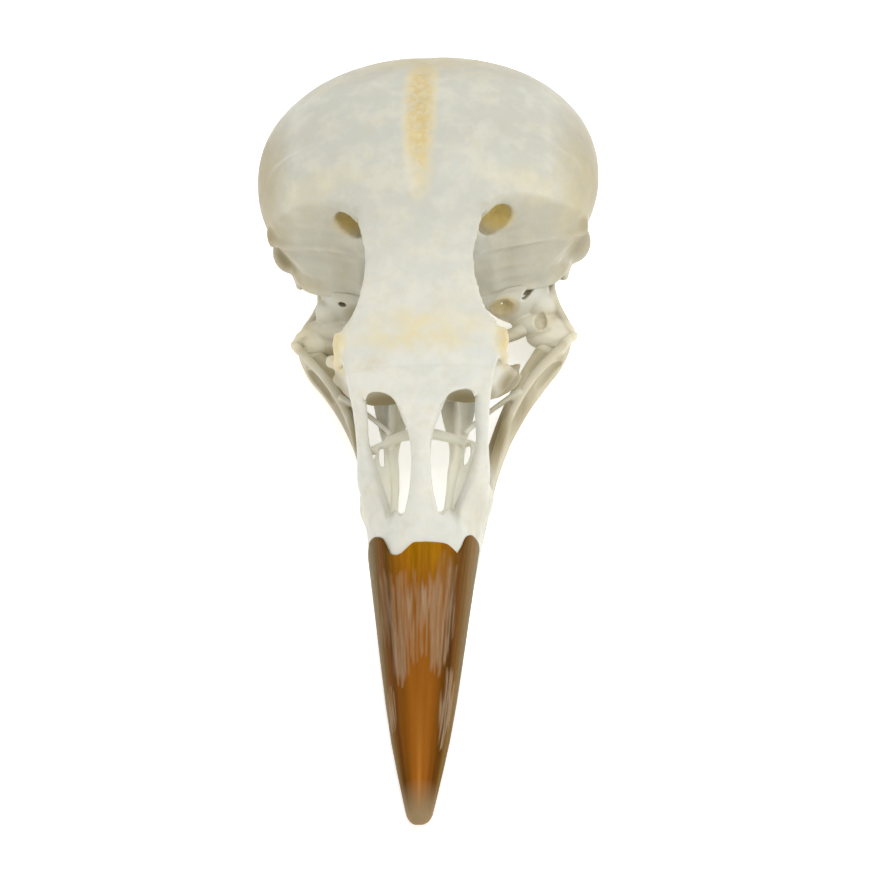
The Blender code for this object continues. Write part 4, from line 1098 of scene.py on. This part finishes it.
class SKULL_OT_lower_jaw(bpy.types.Operator):
    """Both sides of the lower jaw, from behind the joint to the horn"""
    bl_idname = "skull.lower_jaw"
    bl_label = "Lower jaw"

    def execute(self, context):
        sizes = context.scene.skull_sizes
        for word, side in BOTH_SIDES:
            solids = [
                bar("ramus", (
                    (6.7, 9.9, 0.95, 0.7, 0.95), (6.9, 10.7, 1.05, 0.95, 1.1), (7.3, 12.4, 1.15, 1.05, 1.2),
                    (7.8, 14.4, 1.35, 1.2, 1.35), (7.6, 16.2, 1.5, 0.9, 1.5), (6.9, 17.9, 1.75, 0.6, 1.8),
                    (6.0, 19.8, 1.75, 0.45, 1.85), (4.9, 22.6, 1.6, 0.42, 1.65),
                    (3.95, 26.2, 1.45, 0.45, 1.45), (3.35, 30.0, 1.4, 0.45, 1.4),
                    (2.8, 34.0, 1.35, 0.45, 1.35), (2.15, 37.6, 1.25, 0.6, 1.25),
                    (1.4, 41.5, 1.1, 0.8, 1.0)), side, power=2.4, across=32, shift=0.15),
                bar("inner_process", ((7.9, 14.8, 1.9, 0.8, 0.7), (6.6, 14.4, 2.1, 0.6, 0.5),
                                      (5.7, 14.1, 2.4, 0.3, 0.3)), side),
                bar("joint_lip", ((8.7, 15.2, 2.3, 0.35, 0.35), (8.3, 16.6, 2.6, 0.35, 0.4),
                                  (7.5, 18.0, 2.9, 0.3, 0.4), (6.6, 19.4, 3.1, 0.25, 0.3)), side),
                lump("jaw_bump", (side * 8.0, 17.1, 1.9), (0.55, 0.9, 0.7)),
            ]
            hollows = [lump("side_dent", (side * 7.6, 18.6, 1.7), (0.8, 2.0, 0.8), turn=(0, 0, side * -25))]
            set_bone(fuse(f"jaw_{word}", solids, JAW_GRAIN, hollows), sizes, f"mandible_{word}")
        return {"FINISHED"}


# Rings of the horn's rear lip: how far in from its edge, and how deep under its surface
HORN_LIP = ((0.5, 0.55), (0.18, 0.3), (0.02, 0.14), (0.0, 0.05))
# How far in from that edge the outer surface starts, and how strongly its rings crowd towards the tip
OUTER_START = 0.06
CROWDING = 1.25
# The lower horn: its squareness, how much narrower it is than the upper one on each side, its gap to that
# one's edge, the level of its widest place as a share of its height, and how far it reaches below the floor
# before it is made flat
LOWER_SQUARENESS = 2.6
LOWER_INSET = 0.42
BILL_GAP = 0.25
WIDEST_SHARE = 0.55
KEEL = 0.2


def blunted(f, tip):
    """Share of the full width that is left near a round tip."""
    past = np.maximum(0, (f - (tip - TIP_ROUND)) / TIP_ROUND)
    return np.sqrt(np.maximum(TIP_LEAST, 1 - past ** 2))


def upper_horn():
    """The horn over the front of the upper bill, with a thin lip where it begins."""
    across, steps = 160, 190
    c, s = power_curve(across, BILL_SQUARENESS)
    turned = np.where(s >= 0, np.cos(2 * np.pi * np.arange(across) / across), np.sign(c))
    edge = np.array(between(HORN_EDGE, 6))
    starts = np.interp(turned, edge[:, 0], edge[:, 1])
    rows = []
    run = [(back, inset, None) for back, inset in HORN_LIP]
    run += [(OUTER_START, 0.0, step / steps) for step in range(steps + 1)]
    for back, inset, t in run:
        f = starts + back
        if t is not None:
            f = f + (SKULL_LENGTH - f) * (1 - (1 - t) ** CROWDING)
        blunt = blunted(f, SKULL_LENGTH)
        half, low, height = bill_outline(f)
        half, low, height = (half - inset) * blunt, low + inset, height - 2 * inset
        middle = low + height / 2
        z = low + np.where(s > 0, s, 0) * height
        rows.append(np.column_stack((c * half, f, middle + (z - middle) * blunt)))
    grid = np.array(rows)
    grid = np.stack((grid[..., 0] * MM, (MIDDLE_F - grid[..., 1]) * MM, grid[..., 2] * MM), axis=-1)
    return loft("upper_horn", grid)


def lower_horn(sizes):
    """The horn over the joined front of the lower jaw, flat below."""
    across, steps = 96, 110
    c, s = power_curve(across, LOWER_SQUARENESS)
    rows = []
    for step in range(steps + 1):
        f = sizes.lower_horn_f + (sizes.lower_tip_f - sizes.lower_horn_f) * step / steps
        blunt = blunted(f, sizes.lower_tip_f)
        upper_half, upper_low, _ = bill_outline(f)
        half = (upper_half - LOWER_INSET) * blunt
        top = upper_low - BILL_GAP
        middle = WIDEST_SHARE * top
        z = middle + np.where(s > 0, (top - middle) * s, (middle + KEEL) * s) * blunt
        rows.append([spot(x * half, f, max(0.0, height)) for x, height in zip(c, z)])
    return loft("lower_horn", rows)


# Pale flakes of the horn: place across it from -1 to 1, place along it, reach of both, strength
FLAKE_PLACES = (
    (-0.08, 42.2, 0.4, 2.0, 0.8), (-0.5, 44.5, 0.28, 2.4, 0.7), (0.42, 42.4, 0.36, 4.0, 0.7),
    (0.5, 40.2, 0.3, 2.2, 0.4), (0.0, 41.8, 0.6, 1.5, 0.25), (0.78, 48.0, 0.2, 2.8, 0.95),
    (-0.86, 47.8, 0.13, 1.6, 0.9), (-0.3, 42.6, 0.55, 3.2, 0.5), (-0.75, 41.5, 0.2, 3.0, 0.4),
)
# Scale of the noise across the fibres and along them, so that it is drawn out lengthwise
ACROSS_FIBRES = 2.6
ALONG_FIBRES = 0.05
# Size of the single fibres and of the broad waves in that noise, and the height of each and of the
# flakes, in mm
FIBRE_SIZE = 0.12
BROAD_SIZE = 0.4
FIBRE_LIFT = 0.01
BROAD_LIFT = 0.015
FLAKE_LIFT = 0.03
# How much the nearness of a flake's place and the broad waves count beside the fibres, and the sums
# between which it lifts off
NEAR_SHARE = 0.9
BROAD_SHARE = 0.4
TORN = (0.2, 0.8)
# How far out the lower horn counts as, for its dark colour
LOWER_ACROSS = 0.8


def flake(horn, upper):
    """Fibres, a soft ridge and lifted flakes along the horn, with masks of where they are."""
    places = skull_places(horn)
    f = places[:, 1]
    half, low, height = bill_outline(f)
    side = places[:, 0] / half
    rise = (places[:, 2] - low) / height
    along_fibres = np.column_stack((side * ACROSS_FIBRES, f * ALONG_FIBRES, rise * ACROSS_FIBRES))
    fibre = waves(along_fibres, FIBRE_SIZE)
    broad = waves(along_fibres, BROAD_SIZE, seed=4.0)
    mask = np.zeros(len(places))
    for u, at, u_reach, f_reach, strength in FLAKE_PLACES if upper else ():
        near = blob(np.column_stack((side, f)), (u, at), (u_reach, f_reach)) ** 0.7
        torn = smooth_step(fibre + BROAD_SHARE * broad + NEAR_SHARE * near, *TORN) * (near > 0)
        mask = np.maximum(mask, strength * torn)
    lift = FIBRE_LIFT * fibre + BROAD_LIFT * broad + FLAKE_LIFT * mask
    move_points(horn, points_of(horn) + normals_of(horn) * (lift * MM)[:, None])
    write_mask(horn, "across", side if upper else np.full(len(places), LOWER_ACROSS))
    write_mask(horn, "flake", mask)
    fibres = horn.data.attributes.new("fibre", "FLOAT_VECTOR", "POINT")
    fibres.data.foreach_set("vector", np.asarray(along_fibres * MM, np.float32).ravel())


class SKULL_OT_horn(bpy.types.Operator):
    """Amber horn sheaths over both halves of the bill"""
    bl_idname = "skull.horn"
    bl_label = "Horn"

    def execute(self, context):
        sizes = context.scene.skull_sizes
        for horn, upper in ((upper_horn(), True), (lower_horn(sizes), False)):
            flake(horn, upper)
            lean_bill(horn)
            set_piece(horn, horn_look(), "horn", "upper_horn_sheath" if upper else "lower_horn_sheath")
        return {"FINISHED"}


# How far, in mm, a surface shuts in another, how far above the bone its rays start, and their number
HOLLOW_REACH = 7.0
RAY_START = 0.05
RAYS = 16


def spread_rays(count):
    """Directions spread evenly over the upper half of a ball."""
    golden = math.pi * (3 - math.sqrt(5))
    rays = []
    for i in range(count):
        z = (i + 0.5) / count
        flat = math.sqrt(1 - z * z)
        rays.append((flat * math.cos(i * golden), flat * math.sin(i * golden), z))
    return rays


def copy_of_all(pieces):
    """One joined copy of the pieces, to be felt with rays."""
    copies = []
    for piece in pieces:
        copy = bpy.data.objects.new("copy", piece.data.copy())
        bpy.context.scene.collection.objects.link(copy)
        copies.append(copy)
    pick(*copies)
    bpy.ops.object.join()
    return copies[0]


class SKULL_OT_hollows(bpy.types.Operator):
    """How shut in each point of the bones is, for the painted shade in the hollows"""
    bl_idname = "skull.hollows"
    bl_label = "Shade of the hollows"

    def execute(self, context):
        pieces = [piece for piece in context.scene.objects if "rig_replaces" in piece]
        whole = copy_of_all(pieces)
        tree = BVHTree.FromObject(whole, context.evaluated_depsgraph_get())
        bpy.data.objects.remove(whole)
        rays = spread_rays(RAYS)
        shares = [ray[2] ** 0.5 for ray in rays]
        reach = HOLLOW_REACH * MM
        for piece in pieces:
            if "horn" in piece.name:
                continue
            shade = []
            for place, normal in zip(points_of(piece), normals_of(piece)):
                out = Vector(normal)
                turn = out.to_track_quat("Z", "Y")
                start = Vector(place) + out * RAY_START * MM
                shut = 0.0
                for ray, share in zip(rays, shares):
                    hit, _, _, away = tree.ray_cast(start, turn @ Vector(ray), reach)
                    if hit is not None:
                        shut += (1 - away / reach) * share
                shade.append(shut)
            write_mask(piece, "recess", np.array(shade) / sum(shares))
        return {"FINISHED"}


# What the lights are aimed at, and the floor's width, in metres
LIT_PLACE = (0, 0, 0.008)
FLOOR_WIDTH = 3


def area_light(name, place, size, power):
    """A soft square light aimed at the skull."""
    light = bpy.data.lights.new(name, "AREA")
    light.size = size
    light.energy = power
    lamp = bpy.data.objects.new(name, light)
    lamp.location = place
    lamp.rotation_euler = (Vector(LIT_PLACE) - Vector(place)).to_track_quat("-Z", "Y").to_euler()
    bpy.context.scene.collection.objects.link(lamp)


# The camera, as the photograph was taken: angles, distance, and where a known place shows
CAMERA_ELEVATION = 46.0
CAMERA_AZIMUTH = 5.9
CAMERA_ROLL = -6.2
CAMERA_DISTANCE = 350.0
PIXELS_PER_MM = 15.4
PHOTO_WIDTH = 877
PHOTO_HEIGHT = 878
KNOWN_PLACE = (0.0, 8.8, 10.6)
KNOWN_PIXEL = (428, 180)
SENSOR_WIDTH = 36.0


def place_camera():
    """The camera stands so that the known place shows at its pixel, with the photograph's tilt."""
    up, turn, roll = (math.radians(a) for a in (CAMERA_ELEVATION, CAMERA_AZIMUTH, CAMERA_ROLL))
    back = Vector((math.sin(turn) * math.cos(up), -math.cos(turn) * math.cos(up), math.sin(up)))
    right = Vector((math.cos(turn), math.sin(turn), 0))
    above = back.cross(right).normalized()
    rolled_right = right * math.cos(roll) + above * math.sin(roll)
    rolled_up = above * math.cos(roll) - right * math.sin(roll)
    right_off = (KNOWN_PIXEL[0] - PHOTO_WIDTH / 2) / PIXELS_PER_MM * MM
    down_off = (KNOWN_PIXEL[1] - PHOTO_HEIGHT / 2) / PIXELS_PER_MM * MM
    data = bpy.data.cameras.new("camera")
    data.sensor_width = SENSOR_WIDTH
    data.sensor_fit = "HORIZONTAL"
    data.lens = PIXELS_PER_MM * CAMERA_DISTANCE / PHOTO_WIDTH * SENSOR_WIDTH
    data.clip_start = 0.01
    data.clip_end = 10
    camera = bpy.data.objects.new("camera", data)
    place = spot(*KNOWN_PLACE) + back * CAMERA_DISTANCE * MM
    place += rolled_up * down_off - rolled_right * right_off
    camera.matrix_world = Matrix.Translation(place) @ Matrix(
        (rolled_right, rolled_up, back)).transposed().to_4x4()
    bpy.context.scene.collection.objects.link(camera)
    bpy.context.scene.camera = camera


class SKULL_OT_studio(bpy.types.Operator):
    """Pale floor, soft lights and the photograph's camera"""
    bl_idname = "skull.studio"
    bl_label = "Studio"

    def execute(self, context):
        scene = context.scene
        studio = scene.skull_studio
        bpy.ops.object.select_all(action="DESELECT")
        bpy.ops.mesh.primitive_plane_add(size=FLOOR_WIDTH, location=(0, 0, 0))
        floor = context.active_object
        floor.name = "floor"
        look = bpy.data.materials.new("studio_floor")
        look.use_nodes = True
        shader = look.node_tree.nodes["Principled BSDF"]
        shader.inputs["Base Color"].default_value = (*scene.skull_colours.floor, 1)
        shader.inputs["Roughness"].default_value = 0.9
        shader.inputs["Emission Color"].default_value = (*scene.skull_colours.floor, 1)
        shader.inputs["Emission Strength"].default_value = studio.floor_glow
        floor.data.materials.append(look)
        area_light("key", (0.1, -0.16, 0.6), 0.3, studio.key_power)
        area_light("fill", (0.45, -0.2, 0.35), 0.4, studio.fill_power)
        area_light("back", (0.0, 0.5, 0.4), 0.4, studio.fill_power)
        world = bpy.data.worlds.new("room")
        world.use_nodes = True
        world.node_tree.nodes["Background"].inputs["Color"].default_value = (1, 1, 1, 1)
        world.node_tree.nodes["Background"].inputs["Strength"].default_value = studio.world_strength
        scene.world = world
        scene.view_settings.view_transform = "Standard"
        place_camera()
        return {"FINISHED"}


class SKULL_PT_panel(bpy.types.Panel):
    """The skull's parts in the order in which they are made"""
    bl_label = "Starling skull"
    bl_idname = "SKULL_PT_panel"
    bl_space_type = "VIEW_3D"
    bl_region_type = "UI"
    bl_category = "Skull"

    def draw(self, context):
        for operator in OPERATORS:
            self.layout.operator(operator.bl_idname)
        for group in ("skull_sizes", "skull_colours", "skull_studio"):
            settings = getattr(context.scene, group)
            column = self.layout.column()
            for name in settings.__annotations__:
                column.prop(settings, name)


OPERATORS = (SKULL_OT_cranium, SKULL_OT_face, SKULL_OT_quadrates, SKULL_OT_struts, SKULL_OT_lower_jaw,
             SKULL_OT_horn, SKULL_OT_hollows, SKULL_OT_studio)
CLASSES = (SkullSizes, SkullColours, SkullStudio, *OPERATORS, SKULL_PT_panel)


def register():
    for made in CLASSES:
        bpy.utils.register_class(made)
    bpy.types.Scene.skull_sizes = bpy.props.PointerProperty(type=SkullSizes)
    bpy.types.Scene.skull_colours = bpy.props.PointerProperty(type=SkullColours)
    bpy.types.Scene.skull_studio = bpy.props.PointerProperty(type=SkullStudio)


def unregister():
    del bpy.types.Scene.skull_studio
    del bpy.types.Scene.skull_colours
    del bpy.types.Scene.skull_sizes
    for made in reversed(CLASSES):
        bpy.utils.unregister_class(made)


def main():
    """Makes every part in order."""
    register()
    bpy.ops.skull.cranium()
    bpy.ops.skull.face()
    bpy.ops.skull.quadrates()
    bpy.ops.skull.struts()
    bpy.ops.skull.lower_jaw()
    bpy.ops.skull.horn()
    bpy.ops.skull.hollows()
    bpy.ops.skull.studio()


if __name__ == "__main__":
    main()
